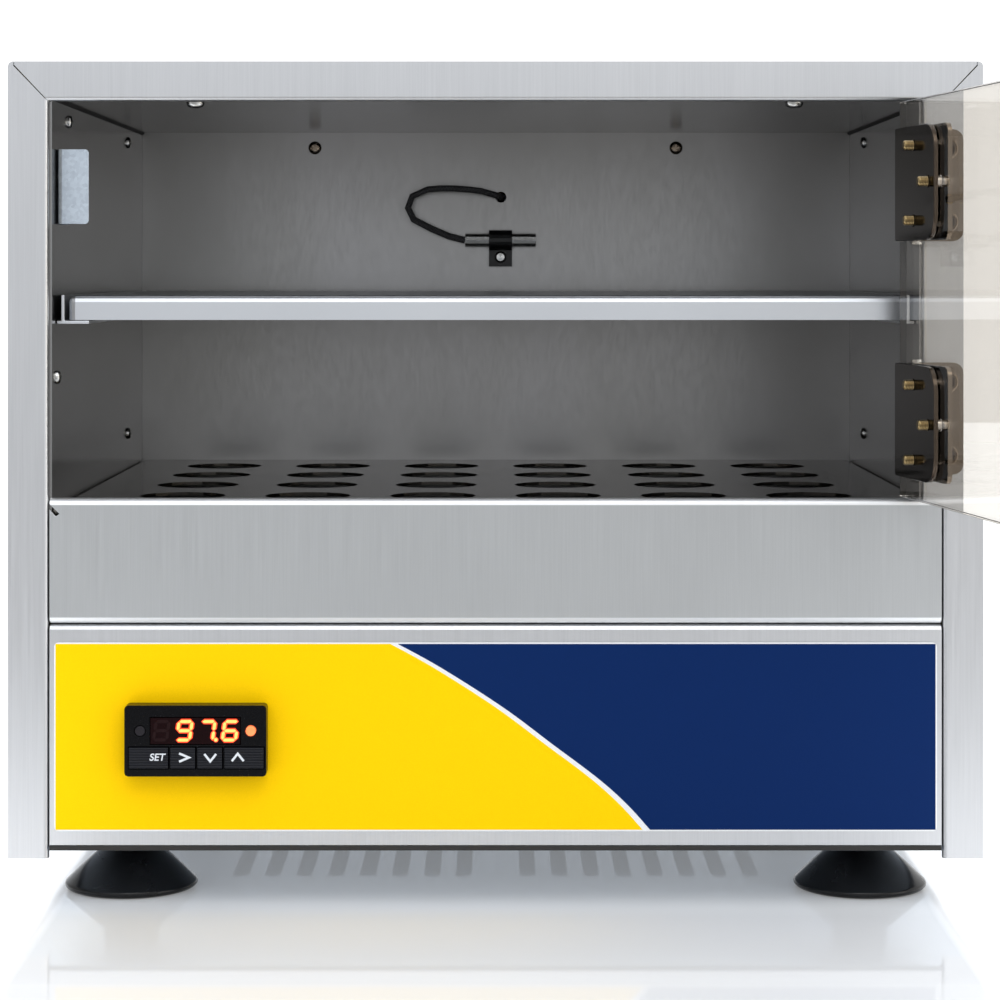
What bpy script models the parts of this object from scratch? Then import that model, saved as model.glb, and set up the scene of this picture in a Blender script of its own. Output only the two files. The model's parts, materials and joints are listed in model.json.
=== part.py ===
"""Bench-top laboratory incubator: a folded sheet-metal case with an inset clear door.

Everything is placed in case coordinates: X across the case from its middle, Y from the
front face (0) towards the back, Z up from the table.  An empty called "case" carries them
all, and puts the middle of the standing object's footprint, door open, at the world's origin.
"""

import math

import bmesh
import bpy
from mathutils import Matrix, Vector

# ---------------------------------------------------------------- driving sizes, metres
GAP = 0.0003                 # room between pieces that touch
SHEET = 0.0012               # folded sheet of the case and the chamber
BEND = 0.0016                # outer radius of a fold

CASE_WIDTH = 0.332
CASE_DEPTH = 0.275
CASE_TOP = 0.288             # height above the table
COVER_BOTTOM = 0.0167        # lower edge of the cover's sides
PILLAR = 0.0137              # front flange of the cover, beside the opening
TOP_BAR = 0.0134             # front flange of the cover, above the opening
LIP = 0.003                  # depth of the flange's return

PAN_UNDERSIDE = 0.0193       # the case stands this high on its feet
PAN_SHEET = 0.0015
PAN_FLANGE = 0.039           # upturned sides that the cover is screwed to
VENT_PITCH = 0.0125
VENT_WIDTH = 0.0063
VENT_LENGTH = 0.053
VENT_SIDE_ROOM = 0.060       # pan left plain outside the vents
VENT_BEHIND_MIDDLE = 0.026   # the vents lie this far behind the pan's middle

PANEL_TOP = 0.0962           # control panel
PANEL_RETURN = 0.008
FASCIA_TOP = 0.1393
FASCIA_BEND = 0.0023         # its folds are rounder than the case's
PANEL_SIDE_ROOM = 0.0004     # between a front panel and a pillar
LABEL_THICK = 0.0003
LABEL_SIDE_ROOM = 0.0017        # between the label and the control panel's ends
LABEL_HEIGHT = 0.0642
LABEL_RISE = 0.0050          # above the control panel's lower edge
LABEL_CORNER = 0.0015

WALL_INSET = 0.0008          # the chamber's walls stand this far inside the pillars
LINER = 0.001                # chamber sheet
REAR_ROOM = 0.035            # from the chamber's back wall to the back of the case
CEILING_DROP = 0.0119        # from the top of the case to the chamber's ceiling
FLOOR_DROP = 0.0033          # from the fascia's lip to the perforated floor
FLOOR_FLANGE = 0.010
HOLE_RADIUS = 0.0155
HOLE_PITCH_X = 0.045
HOLE_PITCH_Y = 0.050
HOLE_EDGE = 0.025            # least distance from a hole's centre to the floor's edge
HOLE_SHIFT_Y = 0.0055        # the pattern lies this far behind the floor's middle
DIVIDER_TOP = 0.0997
DIVIDER_FRONT = 0.010
DIVIDER_FLANGE = 0.011

SHELF_TOP = 0.2084
SHELF_HEIGHT = 0.0086        # depth of its folded edges
SHELF_BEND = 0.0024          # outer radius of its folded edges
SHELF_FRONT = 0.013          # behind the front face
SHELF_BACK_ROOM = 0.008
SHELF_SIDE_ROOM = 0.004
RAIL_SHEET = 0.001
RAIL_LEG = 0.011
RAIL_STAND = 0.0015           # its upright, clear of the chamber's wall
RAIL_BEND = 0.0012
RAIL_FRONT = 0.012

DOOR_THICK = 0.0095           # 3/8 inch acrylic sheet
DOOR_SIDE_ROOM = 0.0013      # between the pane and the pillar, free side
DOOR_HINGE_ROOM = 0.0018     # between the pane and the pillar, hinge side
DOOR_TOP_ROOM = 0.0007
DOOR_BOTTOM_ROOM = 0.0010
DOOR_OPEN = math.radians(98.0)   # how far the door stands open at rest

PIN_FROM_EDGE = 0.0010       # the hinge pin's place, in from the pane's edge
PIN_FROM_FACE = 0.0030       # and in front of its outer face
PIN_RADIUS = 0.0014
PIN_CLEARANCE = 0.00015
PIN_HEAD = 0.0021
KNUCKLE_RADIUS = 0.0026
LEAF_HEIGHT = 0.038
LEAF_THICK = 0.0015
LEAF_EDGE_ROOM = 0.0003      # frame leaf, in from the case's side
DOOR_LEAF_REACH = 0.045      # from the pane's edge
LEAF_CORNER = 0.0035
CLAMP_CORNER = 0.0085
HINGE_DROP = 0.0288          # upper hinge, from the opening's top edge
HINGE_SPACING = 0.0792
HINGE_SCREW_RADIUS = 0.0020
FRAME_SCREW_RISE = 0.0124
FRAME_SCREW_FROM_PIN = 0.0105
NEAR_SCREW = 0.022           # pane screws, from the pane's edge
FAR_SCREW = 0.038

KNOB_FROM_EDGE = 0.0065
KNOB_LENGTH = 0.016
KNOB_RADIUS = 0.0070
KNOB_STEM = 0.0045
KNOB_SCREW_RADIUS = 0.0015
KNOB_SCREW_HEAD = 0.0030
KNOB_BORE_DEPTH = 0.009
MAGNET_RADIUS = 0.005
MAGNET_THICK = 0.0021
TAB_HEIGHT = 0.0258
TAB_REACH = 0.0109
TAB_WALL_LEG = 0.021

CONTROLLER_WIDTH = 0.048     # 1/32 DIN front
CONTROLLER_HEIGHT = 0.024
CONTROLLER_PROUD = 0.0064
CONTROLLER_DEPTH = 0.088
CONTROLLER_BODY_WIDTH = 0.0446
CONTROLLER_BODY_HEIGHT = 0.0220
CONTROLLER_FROM_PILLAR = 0.0509
CONTROLLER_RISE = 0.0371     # centre above the base pan
CUTOUT_ROOM = 0.0004
COLLAR_WALL = 0.0025
COLLAR_DEPTH = 0.008
WINDOW_WIDTH = 0.0303
WINDOW_HEIGHT = 0.00885
WINDOW_RISE = 0.0034
LIGHT_RADIUS = 0.0017
LIGHT_OFFSET = 0.0187
KEY_HEIGHT = 0.0071
KEY_DROP = 0.0057
KEY_PROUD = 0.0006
KEY_BODY = 0.0042
KEY_WELL = 0.0050
WINDOW_DEPTH = 0.0030
# name, width, place across the controller
KEYS = (("set_key", 0.0132, -0.0158), ("right_key", 0.0083, -0.0042),
        ("down_key", 0.0083, 0.0049), ("up_key", 0.0132, 0.0165))

FOOT_RADIUS = 0.0233
FOOT_NECK = 0.00975
FOOT_NECK_HEIGHT = 0.005
FOOT_DISH = 0.0022
FOOT_RIM = 0.003             # flat ring that meets the table
FOOT_FROM_SIDE = 0.0375
FOOT_FROM_END = 0.035

PROBE_RADIUS = 0.0028
PROBE_LENGTH = 0.030
PROBE_MIDDLE = (0.002, 0.2300)   # across, up
PROBE_OFF_WALL = 0.0046
LEAD_RADIUS = 0.0014
LEAD_HOLE = (0.0022, 0.2485)     # across, up
LEAD_HOLE_RADIUS = 0.0024
CLIP_WIDTH = 0.0098
CLIP_THICK = 0.0012
CLIP_SCREW_DROP = 0.0072
CLIP_SCREW_RADIUS = 0.0013

ELEMENT_RADIUS = 0.0032
ELEMENT_HEIGHT = 0.0125      # centre line above the divider
ELEMENT_SIDE_ROOM = 0.0315
ELEMENT_FRONT = 0.050
ELEMENT_BACK_ROOM = 0.040
ELEMENT_BEND = 0.012
ELEMENT_TAIL = 0.014         # below the divider's top
ELEMENT_HOLE = 0.0045
BRACKET_FROM_MIDDLE = 0.060
BRACKET_WIDTH = 0.012

INLET_WIDTH = 0.030
INLET_HEIGHT = 0.052
INLET_FLANGE = 0.0025
INLET_BODY_DEPTH = 0.026
INLET_WALL = 0.0015          # flange beyond the body
SOCKET_WIDTH = 0.0245
SOCKET_HEIGHT = 0.0168
SOCKET_DEPTH = 0.0160
SOCKET_DROP = 0.0115
BLADE = (0.002, 0.004)       # thickness, height
BLADE_LENGTH = 0.0145
BLADE_OFFSET = 0.007
EARTH_RISE = 0.004
DRAWER_WIDTH = 0.0240
DRAWER_HEIGHT = 0.0110
DRAWER_DEPTH = 0.0180
DRAWER_RISE = 0.0135
DRAWER_GRIP = 0.0012
INLET_FROM_SIDE = 0.060
INLET_CENTRE_RISE = 0.0372   # above the base pan
SWITCH_WIDTH = 0.0220
SWITCH_HEIGHT = 0.0175
SWITCH_FLANGE = 0.0016
SWITCH_BODY_DEPTH = 0.0150
SWITCH_WALL = 0.0015
SWITCH_FROM_INLET = 0.042
ROCKER_WIDTH = 0.0140
ROCKER_HALF = 0.0050         # half its height
ROCKER_LIFT = 0.0026         # its ends, above its axis
ROCKER_BELLY = 0.0042
ROCKER_TILT = math.radians(10.0)
ROCKER_ROOM = 0.0006

INSULATION_BOTTOM = 0.062
REAR_GAP = 0.010             # free space behind the back insulation

RELAY_PLACE = (0.0525, 0.089)    # across, back
RELAY_SIZE = (0.045, 0.058, 0.0225)
RELAY_PLATE = 0.003
BLOCK_PLACE = (-0.030, 0.112)
BLOCK_SIZE = (0.060, 0.020, 0.017)
BLOCK_WAYS = 6
THERMOSTAT_PLACE = (0.020, 0.060)
THERMOSTAT_RADIUS = 0.0080
THERMOSTAT_HEIGHT = 0.0100
THERMOSTAT_FLANGE = 0.0120
LOOM_RADIUS = 0.0030

# ---------------------------------------------------------------- sizes that follow
CASE_HALF = CASE_WIDTH / 2
OPENING_HALF = CASE_HALF - PILLAR
OPENING_TOP = CASE_TOP - TOP_BAR
PAN_TOP = PAN_UNDERSIDE + PAN_SHEET
INNER_HALF = CASE_HALF - SHEET - GAP       # half the width of what fits inside the cover
REAR_FACE = CASE_DEPTH - SHEET             # inner face of the rear panel
PANEL_HALF = OPENING_HALF - PANEL_SIDE_ROOM
LABEL_WIDTH = 2 * (PANEL_HALF - LABEL_SIDE_ROOM)
PANEL_FACE = GAP                           # front panels, behind the pillars' face
PANEL_BACK = PANEL_FACE + SHEET
CHAMBER_HALF = OPENING_HALF - WALL_INSET
CHAMBER_FRONT = LIP + GAP
CHAMBER_BACK = CASE_DEPTH - REAR_ROOM
CEILING = CASE_TOP - CEILING_DROP
FLOOR_TOP = FASCIA_TOP - FLOOR_DROP
LINER_BOTTOM = DIVIDER_TOP + GAP
CONTROLLER_X = -OPENING_HALF + CONTROLLER_FROM_PILLAR
CONTROLLER_Z = PAN_TOP + CONTROLLER_RISE
BEZEL_BACK = PANEL_FACE - GAP - LABEL_THICK - GAP
BEZEL_FACE = BEZEL_BACK - CONTROLLER_PROUD
CUTOUT_WIDTH = CONTROLLER_BODY_WIDTH + 2 * CUTOUT_ROOM
CUTOUT_HEIGHT = CONTROLLER_BODY_HEIGHT + 2 * CUTOUT_ROOM

DOOR_LEFT = -OPENING_HALF + DOOR_SIDE_ROOM
DOOR_RIGHT = OPENING_HALF - DOOR_HINGE_ROOM
DOOR_BOTTOM = FASCIA_TOP + DOOR_BOTTOM_ROOM
DOOR_TOP = OPENING_TOP - DOOR_TOP_ROOM
PIN_X = DOOR_RIGHT - PIN_FROM_EDGE
PIN_Y = -PIN_FROM_FACE
HINGES = (("upper", OPENING_TOP - HINGE_DROP),
          ("lower", OPENING_TOP - HINGE_DROP - HINGE_SPACING))
LATCH_Z = OPENING_TOP - HINGE_DROP         # knob, magnet and strike tab
KNOB_X = DOOR_LEFT + KNOB_FROM_EDGE

SHELF_HALF = CHAMBER_HALF - SHELF_SIDE_ROOM
SHELF_BACK = CHAMBER_BACK - SHELF_BACK_ROOM
SHELF_BOTTOM = SHELF_TOP - SHELF_HEIGHT

INLET_X = CASE_HALF - INLET_FROM_SIDE
INLET_Z = PAN_TOP + INLET_CENTRE_RISE
SWITCH_X = INLET_X - SWITCH_FROM_INLET
SWITCH_FACE = CASE_DEPTH + GAP + SWITCH_FLANGE
ROCKER_AXIS_Y = SWITCH_FACE - 0.001
ROCKER_WELL_HALF = math.hypot(ROCKER_HALF, ROCKER_LIFT) + ROCKER_ROOM
INLET_FACE = CASE_DEPTH + GAP + INLET_FLANGE
INLET_BODY_BACK = CASE_DEPTH - INLET_BODY_DEPTH
ELEMENT_END = CHAMBER_HALF - ELEMENT_SIDE_ROOM
ELEMENT_Z = DIVIDER_TOP + ELEMENT_HEIGHT

FINISHES = {                 # linear colour, roughness, metallic, alpha
    "brushed_steel": ((0.53, 0.54, 0.56), 0.33, 1.0, 1.0),
    "dull_steel": ((0.30, 0.30, 0.31), 0.40, 1.0, 1.0),
    "galvanised_steel": ((0.48, 0.56, 0.64), 0.42, 1.0, 1.0),
    "dark_nickel": ((0.16, 0.13, 0.11), 0.25, 1.0, 1.0),
    "bright_steel": ((0.60, 0.60, 0.60), 0.20, 1.0, 1.0),
    "printed_film": ((1.0, 0.71, 0.007), 0.35, 0.0, 1.0),
    "black_plastic": ((0.012, 0.012, 0.013), 0.22, 0.0, 1.0),
    "grey_plastic": ((0.10, 0.10, 0.11), 0.45, 0.0, 1.0),
    "red_window": ((0.060, 0.006, 0.005), 0.08, 0.0, 1.0),
    "red_light": ((0.80, 0.05, 0.03), 0.20, 0.0, 1.0),
    "clear_acrylic": ((0.86, 0.82, 0.74), 0.03, 0.0, 0.30),
    "black_rubber": ((0.010, 0.010, 0.011), 0.35, 0.0, 1.0),
    "wire_sleeve": ((0.035, 0.034, 0.033), 0.50, 0.0, 1.0),
    "mineral_wool": ((0.62, 0.55, 0.36), 0.95, 0.0, 1.0),
    "magnet": ((0.05, 0.05, 0.05), 0.40, 1.0, 1.0),
}


# ---------------------------------------------------------------- scene, materials, placing
def clear_scene():
    for obj in list(bpy.data.objects):
        bpy.data.objects.remove(obj, do_unlink=True)


def new_collection(name):
    collection = bpy.data.collections.new(name)
    bpy.context.scene.collection.children.link(collection)
    return collection


def new_material(name, finish):
    colour, roughness, metallic, alpha = FINISHES[finish]
    material = bpy.data.materials.new(name + "_" + finish)
    material.use_nodes = True
    shader = material.node_tree.nodes["Principled BSDF"]
    shader.inputs["Base Color"].default_value = (*colour, 1.0)
    shader.inputs["Roughness"].default_value = roughness
    shader.inputs["Metallic"].default_value = metallic
    shader.inputs["Alpha"].default_value = alpha
    return material


def add_piece(name, data, finish, parent, place=(0, 0, 0), turn=(0, 0, 0)):
    """A sub-part: a named object with its own material, placed under its parent."""
    obj = bpy.data.objects.new(name, data)
    pieces.objects.link(obj)
    obj.parent = parent
    obj.location = place
    obj.rotation_euler = turn
    data.materials.append(new_material(name, finish))
    return obj


def add_cutter(name, data, parent, place=(0, 0, 0), turn=(0, 0, 0)):
    obj = bpy.data.objects.new(name, data)
    cutters.objects.link(obj)
    obj.parent = parent
    obj.location = place
    obj.rotation_euler = turn
    obj.hide_render = True
    obj.display_type = "WIRE"
    return obj


def add_boolean(obj, tool, operation):
    modifier = obj.modifiers.new(operation.lower() + " " + tool.name, "BOOLEAN")
    modifier.operation = operation
    modifier.solver = "EXACT"
    modifier.object = tool


def cut(obj, tool):
    add_boolean(obj, tool, "DIFFERENCE")


def unite(obj, tool):
    add_boolean(obj, tool, "UNION")


def add_empty(name, parent, place, turn=(0, 0, 0)):
    obj = bpy.data.objects.new(name, None)
    pieces.objects.link(obj)
    obj.parent = parent
    obj.location = place
    obj.rotation_euler = turn
    return obj


# ---------------------------------------------------------------- shapes
def boxes(name, spans):
    """A mesh of boxes, each between a low and a high corner."""
    bm = bmesh.new()
    for low, high in spans:
        low, high = Vector(low), Vector(high)
        made = bmesh.ops.create_cube(bm, size=1.0)["verts"]
        bmesh.ops.scale(bm, vec=high - low, verts=made)
        bmesh.ops.translate(bm, vec=(high + low) / 2, verts=made)
    mesh = bpy.data.meshes.new(name)
    bm.to_mesh(mesh)
    bm.free()
    return mesh


def box(name, low, high):
    return boxes(name, [(low, high)])


AXIS_TURN = {"X": Matrix.Rotation(math.pi / 2, 3, "Y"),
             "Y": Matrix.Rotation(-math.pi / 2, 3, "X"),
             "Z": Matrix.Identity(3)}


def rods(name, axis, segments, spans):
    """A mesh of cylinders along one axis, each (centre, radius, length)."""
    bm = bmesh.new()
    for centre, radius, length in spans:
        made = bmesh.ops.create_cone(bm, cap_ends=True, segments=segments, radius1=radius,
                                     radius2=radius, depth=length)["verts"]
        bmesh.ops.rotate(bm, matrix=AXIS_TURN[axis], verts=made)
        bmesh.ops.translate(bm, vec=centre, verts=made)
    mesh = bpy.data.meshes.new(name)
    bm.to_mesh(mesh)
    bm.free()
    smooth_sides(mesh)
    return mesh


def rod(name, axis, centre, radius, length, segments=20):
    return rods(name, axis, segments, [(centre, radius, length)])


def smooth_sides(mesh):
    mesh.shade_smooth()
    mesh.set_sharp_from_angle(angle=math.radians(35))


def rounded_rectangle(width, height, radius, centre=(0, 0), steps=4):
    """Its outline, anticlockwise; radius is one value, or (left, right)."""
    left, right = radius if isinstance(radius, tuple) else (radius, radius)
    corners = ((1, -1, right, -90), (1, 1, right, 0), (-1, 1, left, 90), (-1, -1, left, 180))
    points = []
    for side_x, side_y, r, start in corners:
        middle_x = centre[0] + side_x * (width / 2 - r)
        middle_y = centre[1] + side_y * (height / 2 - r)
        for step in range(steps + 1 if r else 1):
            angle = math.radians(start + 90 * step / steps)
            points.append((middle_x + r * math.cos(angle), middle_y + r * math.sin(angle)))
    return points


def circle(radius, centre, steps=12):
    return [(centre[0] + radius * math.cos(2 * math.pi * i / steps),
             centre[1] + radius * math.sin(2 * math.pi * i / steps)) for i in range(steps)]


def plate(name, outlines, thick):
    """A flat sheet of the first outline with the others as its holes, lying in XY."""
    curve = bpy.data.curves.new(name, "CURVE")
    curve.dimensions = "2D"
    curve.fill_mode = "BOTH"
    curve.extrude = thick / 2
    for outline in outlines:
        spline = curve.splines.new("POLY")
        spline.points.add(len(outline) - 1)
        for point, place in zip(spline.points, outline):
            point.co = (*place, 0.0, 1.0)
        spline.use_cyclic_u = True
    holder = bpy.data.objects.new(name + "_outline", curve)
    pieces.objects.link(holder)
    graph = bpy.context.evaluated_depsgraph_get()
    mesh = bpy.data.meshes.new_from_object(holder.evaluated_get(graph))
    bpy.data.objects.remove(holder, do_unlink=True)
    mesh.materials.clear()
    bm = bmesh.new()
    bm.from_mesh(mesh)
    bmesh.ops.remove_doubles(bm, verts=bm.verts, dist=1e-6)
    bmesh.ops.recalc_face_normals(bm, faces=bm.faces)
    bm.to_mesh(mesh)
    bm.free()
    mesh.name = name
    return mesh


UPRIGHT = (math.pi / 2, 0, 0)    # stands a flat plate up, facing the front
SIDEWAYS = (math.pi / 2, 0, math.pi / 2)   # stands it up, facing the side


def turned(name, profile, finish, parent, place, turn=(0, 0, 0), steps=20):
    """A turned piece: its profile as (radius, height), from the top down, or a closed ring."""
    bm = bmesh.new()
    closed = profile[0] == profile[-1]
    verts = [bm.verts.new((radius, 0, height)) for radius, height in profile[:len(profile) - closed]]
    for one, other in zip(verts, verts[1:] + verts[:closed]):
        bm.edges.new((one, other))
    mesh = bpy.data.meshes.new(name)
    bm.to_mesh(mesh)
    bm.free()
    obj = add_piece(name, mesh, finish, parent, place, turn)
    screw = obj.modifiers.new("turn", "SCREW")
    screw.steps = steps
    screw.render_steps = steps
    screw.use_merge_vertices = True
    screw.merge_threshold = 0.00001
    return obj


def folded(name, corners, plane, span, finish, parent, sheet=SHEET, bend=BEND, steps=2):
    """Folded sheet: an open path of corners in a plane, drawn out along the third axis.

    The corners lie on the sheet's outer face, on the left of the way along the path when
    the third axis points away from the eye, and its thickness goes to the other side.
    """
    first, second = ["XYZ".index(letter) for letter in plane]
    third = 3 - first - second
    bm = bmesh.new()
    verts = []
    for corner in corners:
        place = [0.0, 0.0, 0.0]
        place[first], place[second], place[third] = corner[0], corner[1], span[0]
        verts.append(bm.verts.new(place))
    edges = [bm.edges.new(pair) for pair in zip(verts, verts[1:])]
    drawn = bmesh.ops.extrude_edge_only(bm, edges=edges)["geom"]
    reach = Vector((0.0, 0.0, 0.0))
    reach[third] = span[1] - span[0]
    bmesh.ops.translate(bm, vec=reach, verts=[g for g in drawn if isinstance(g, bmesh.types.BMVert)])
    bm.normal_update()
    bm.faces.ensure_lookup_table()
    way = verts[1].co - verts[0].co
    face = next(f for f in bm.faces if verts[0] in f.verts)
    if face.normal.dot(way.cross(reach)) < 0:
        bmesh.ops.reverse_faces(bm, faces=bm.faces)
    mesh = bpy.data.meshes.new(name)
    bm.to_mesh(mesh)
    bm.free()
    obj = add_piece(name, mesh, finish, parent)
    rounding = obj.modifiers.new("fold", "BEVEL")
    rounding.width = bend
    rounding.segments = steps
    rounding.limit_method = "ANGLE"
    rounding.angle_limit = math.radians(30)
    thickness = obj.modifiers.new("sheet", "SOLIDIFY")
    thickness.thickness = sheet
    thickness.offset = -1.0
    thickness.use_even_offset = True
    return obj


def smooth_route(points, spacing):
    """Points along a smooth curve through the given ones, about spacing apart."""
    points = [Vector(p) for p in points]
    ends = [2 * points[0] - points[1], *points, 2 * points[-1] - points[-2]]
    route = [points[0]]
    for a, b, c, d in zip(ends, ends[1:], ends[2:], ends[3:]):
        count = max(1, round((c - b).length / spacing))
        for step in range(1, count + 1):
            t = step / count
            route.append(0.5 * (2 * b + (c - a) * t + (2 * a - 5 * b + 4 * c - d) * t * t
                                + (3 * b - a - 3 * c + d) * t * t * t))
    return route


def rounded_route(corners, radius, steps=4):
    """A route of straight runs with an arc at each inner corner."""
    corners = [Vector(c) for c in corners]
    route = [corners[0]]
    for before, corner, after in zip(corners, corners[1:], corners[2:]):
        come, leave = (corner - before).normalized(), (after - corner).normalized()
        centre = corner - come * radius + leave * radius
        for step in range(steps + 1):
            angle = math.pi / 2 * step / steps
            route.append(centre - leave * radius * math.cos(angle) + come * radius * math.sin(angle))
    route.append(corners[-1])
    return route


def wire(name, route, radius, finish, parent):
    curve = bpy.data.curves.new(name, "CURVE")
    curve.dimensions = "3D"
    curve.bevel_depth = radius
    curve.bevel_resolution = 2
    curve.use_fill_caps = True
    spline = curve.splines.new("POLY")
    spline.points.add(len(route) - 1)
    for point, place in zip(spline.points, route):
        point.co = (*place, 1.0)
    return add_piece(name, curve, finish, parent)


# ---------------------------------------------------------------- the case
def make_cover():
    """One folded wrap over both sides and the top, with a front flange round the opening."""
    path = [(-CASE_HALF, COVER_BOTTOM), (-CASE_HALF, CASE_TOP),
            (CASE_HALF, CASE_TOP), (CASE_HALF, COVER_BOTTOM)]
    cover = folded("outer_cover", path, "XZ", (0.0, CASE_DEPTH), "brushed_steel", case)
    below = COVER_BOTTOM - SHEET
    inside = SHEET / 2                    # the flange runs into the wrap by half a sheet
    flange = add_cutter("cover_flange", box(
        "cover_flange", (-CASE_HALF + inside, 0, COVER_BOTTOM),
        (CASE_HALF - inside, SHEET, CASE_TOP - inside)), case)
    lip = add_cutter("cover_lip", box(
        "cover_lip", (-OPENING_HALF - SHEET, SHEET / 2, COVER_BOTTOM),
        (OPENING_HALF + SHEET, LIP, OPENING_TOP + SHEET)), case)
    opening = add_cutter("cover_opening", box(
        "cover_opening", (-OPENING_HALF, -SHEET, below), (OPENING_HALF, 2 * LIP, OPENING_TOP)), case)
    unite(flange, lip)
    cut(flange, opening)
    unite(cover, flange)


def make_base_pan():
    """Bottom sheet with two groups of vent slots, and upturned sides."""
    front, back = 2 * GAP, REAR_FACE - GAP
    step = CHAMBER_FRONT + GAP
    outline = [(-PANEL_HALF, front), (PANEL_HALF, front), (PANEL_HALF, CHAMBER_FRONT),
               (INNER_HALF, step), (INNER_HALF, back), (-INNER_HALF, back),
               (-INNER_HALF, step), (-PANEL_HALF, CHAMBER_FRONT)]
    count = int((INNER_HALF - VENT_SIDE_ROOM) / VENT_PITCH)
    middle = CASE_DEPTH / 2 + VENT_BEHIND_MIDDLE
    slots = [rounded_rectangle(VENT_WIDTH, VENT_LENGTH, VENT_WIDTH * 0.49,
                               (side * place * VENT_PITCH, middle), steps=2)
             for side in (-1, 1) for place in range(1, count + 1)]
    level = PAN_UNDERSIDE + PAN_SHEET / 2
    pan = add_piece("base_pan", plate("base_pan", [outline], PAN_SHEET), "brushed_steel", case,
                    (0, 0, level))
    for side in (-1, 1):
        near, far = sorted((side * (INNER_HALF - GAP), side * (INNER_HALF - GAP - SHEET)))
        flange = add_cutter(f"pan_flange_{side}", box(
            "pan_flange", (near, 2 * LIP, level), (far, back - LIP, PAN_TOP + PAN_FLANGE)), case)
        unite(pan, flange)
    cut(pan, add_cutter("vent_slots", plate("vent_slots", slots, 4 * PAN_SHEET), case, (0, 0, level)))


def make_front_panels():
    """Control panel and upper fascia, each folded back along its top and bottom edges."""
    cutout = add_cutter("controller_cutout", box(
        "controller_cutout",
        (CONTROLLER_X - CUTOUT_WIDTH / 2, -0.01, CONTROLLER_Z - CUTOUT_HEIGHT / 2),
        (CONTROLLER_X + CUTOUT_WIDTH / 2, 0.01, CONTROLLER_Z + CUTOUT_HEIGHT / 2)), case)
    bottom = PAN_TOP + GAP
    path = [(PANEL_RETURN, PANEL_TOP), (PANEL_FACE, PANEL_TOP), (PANEL_FACE, bottom)]
    panel = folded("control_panel", path, "YZ", (-PANEL_HALF, PANEL_HALF), "brushed_steel", case)
    cut(panel, cutout)
    low = PANEL_TOP + GAP
    path = [(LIP, FASCIA_TOP), (PANEL_FACE, FASCIA_TOP), (PANEL_FACE, low), (PANEL_RETURN, low)]
    folded("upper_fascia", path, "YZ", (-PANEL_HALF, PANEL_HALF), "brushed_steel", case,
           bend=FASCIA_BEND, steps=3)
    middle = PAN_TOP + GAP + LABEL_RISE + LABEL_HEIGHT / 2
    outline = rounded_rectangle(LABEL_WIDTH, LABEL_HEIGHT, LABEL_CORNER)
    hole = rounded_rectangle(CUTOUT_WIDTH, CUTOUT_HEIGHT, 0, (CONTROLLER_X, CONTROLLER_Z - middle))
    label_y = PANEL_FACE - GAP - LABEL_THICK / 2
    add_piece("control_label", plate("control_label", [outline, hole], LABEL_THICK), "printed_film",
              case, (0, label_y, middle), UPRIGHT)


def make_rear_panel():
    low, high = COVER_BOTTOM + GAP, CASE_TOP - SHEET - GAP
    outline = rounded_rectangle(2 * INNER_HALF, high - low, 0.0006, (0, (low + high) / 2), steps=1)
    inlet = rounded_rectangle(INLET_WIDTH - 2 * INLET_WALL, INLET_HEIGHT - 2 * INLET_WALL, 0,
                              (INLET_X, INLET_Z))
    switch = rounded_rectangle(SWITCH_WIDTH - 2 * SWITCH_WALL, SWITCH_HEIGHT - 2 * SWITCH_WALL, 0,
                               (SWITCH_X, INLET_Z))
    add_piece("rear_panel", plate("rear_panel", [outline, inlet, switch], SHEET), "brushed_steel",
              case, (0, CASE_DEPTH - SHEET / 2, 0), UPRIGHT)


def make_feet():
    """Suction-cup feet: a neck, a flared skirt and a dished sole with a flat ring."""
    height = PAN_UNDERSIDE - GAP
    profile = [(0, height), (FOOT_NECK, height), (FOOT_NECK, height - FOOT_NECK_HEIGHT),
               (FOOT_NECK + 0.0035, height - 0.0080), (FOOT_RADIUS - 0.0012, 0.0040),
               (FOOT_RADIUS, 0.0022), (FOOT_RADIUS - 0.0006, 0.0004),
               (FOOT_RADIUS - 0.0014, 0.0), (FOOT_RADIUS - 0.0014 - FOOT_RIM, 0.0),
               (0.0100, FOOT_DISH), (0, FOOT_DISH)]
    for end, y in (("front", FOOT_FROM_END), ("rear", CASE_DEPTH - FOOT_FROM_END)):
        for side, x in (("left", -CASE_HALF + FOOT_FROM_SIDE), ("right", CASE_HALF - FOOT_FROM_SIDE)):
            turned(f"foot_{end}_{side}", profile, "black_rubber", case, (x, y, 0))


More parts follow.
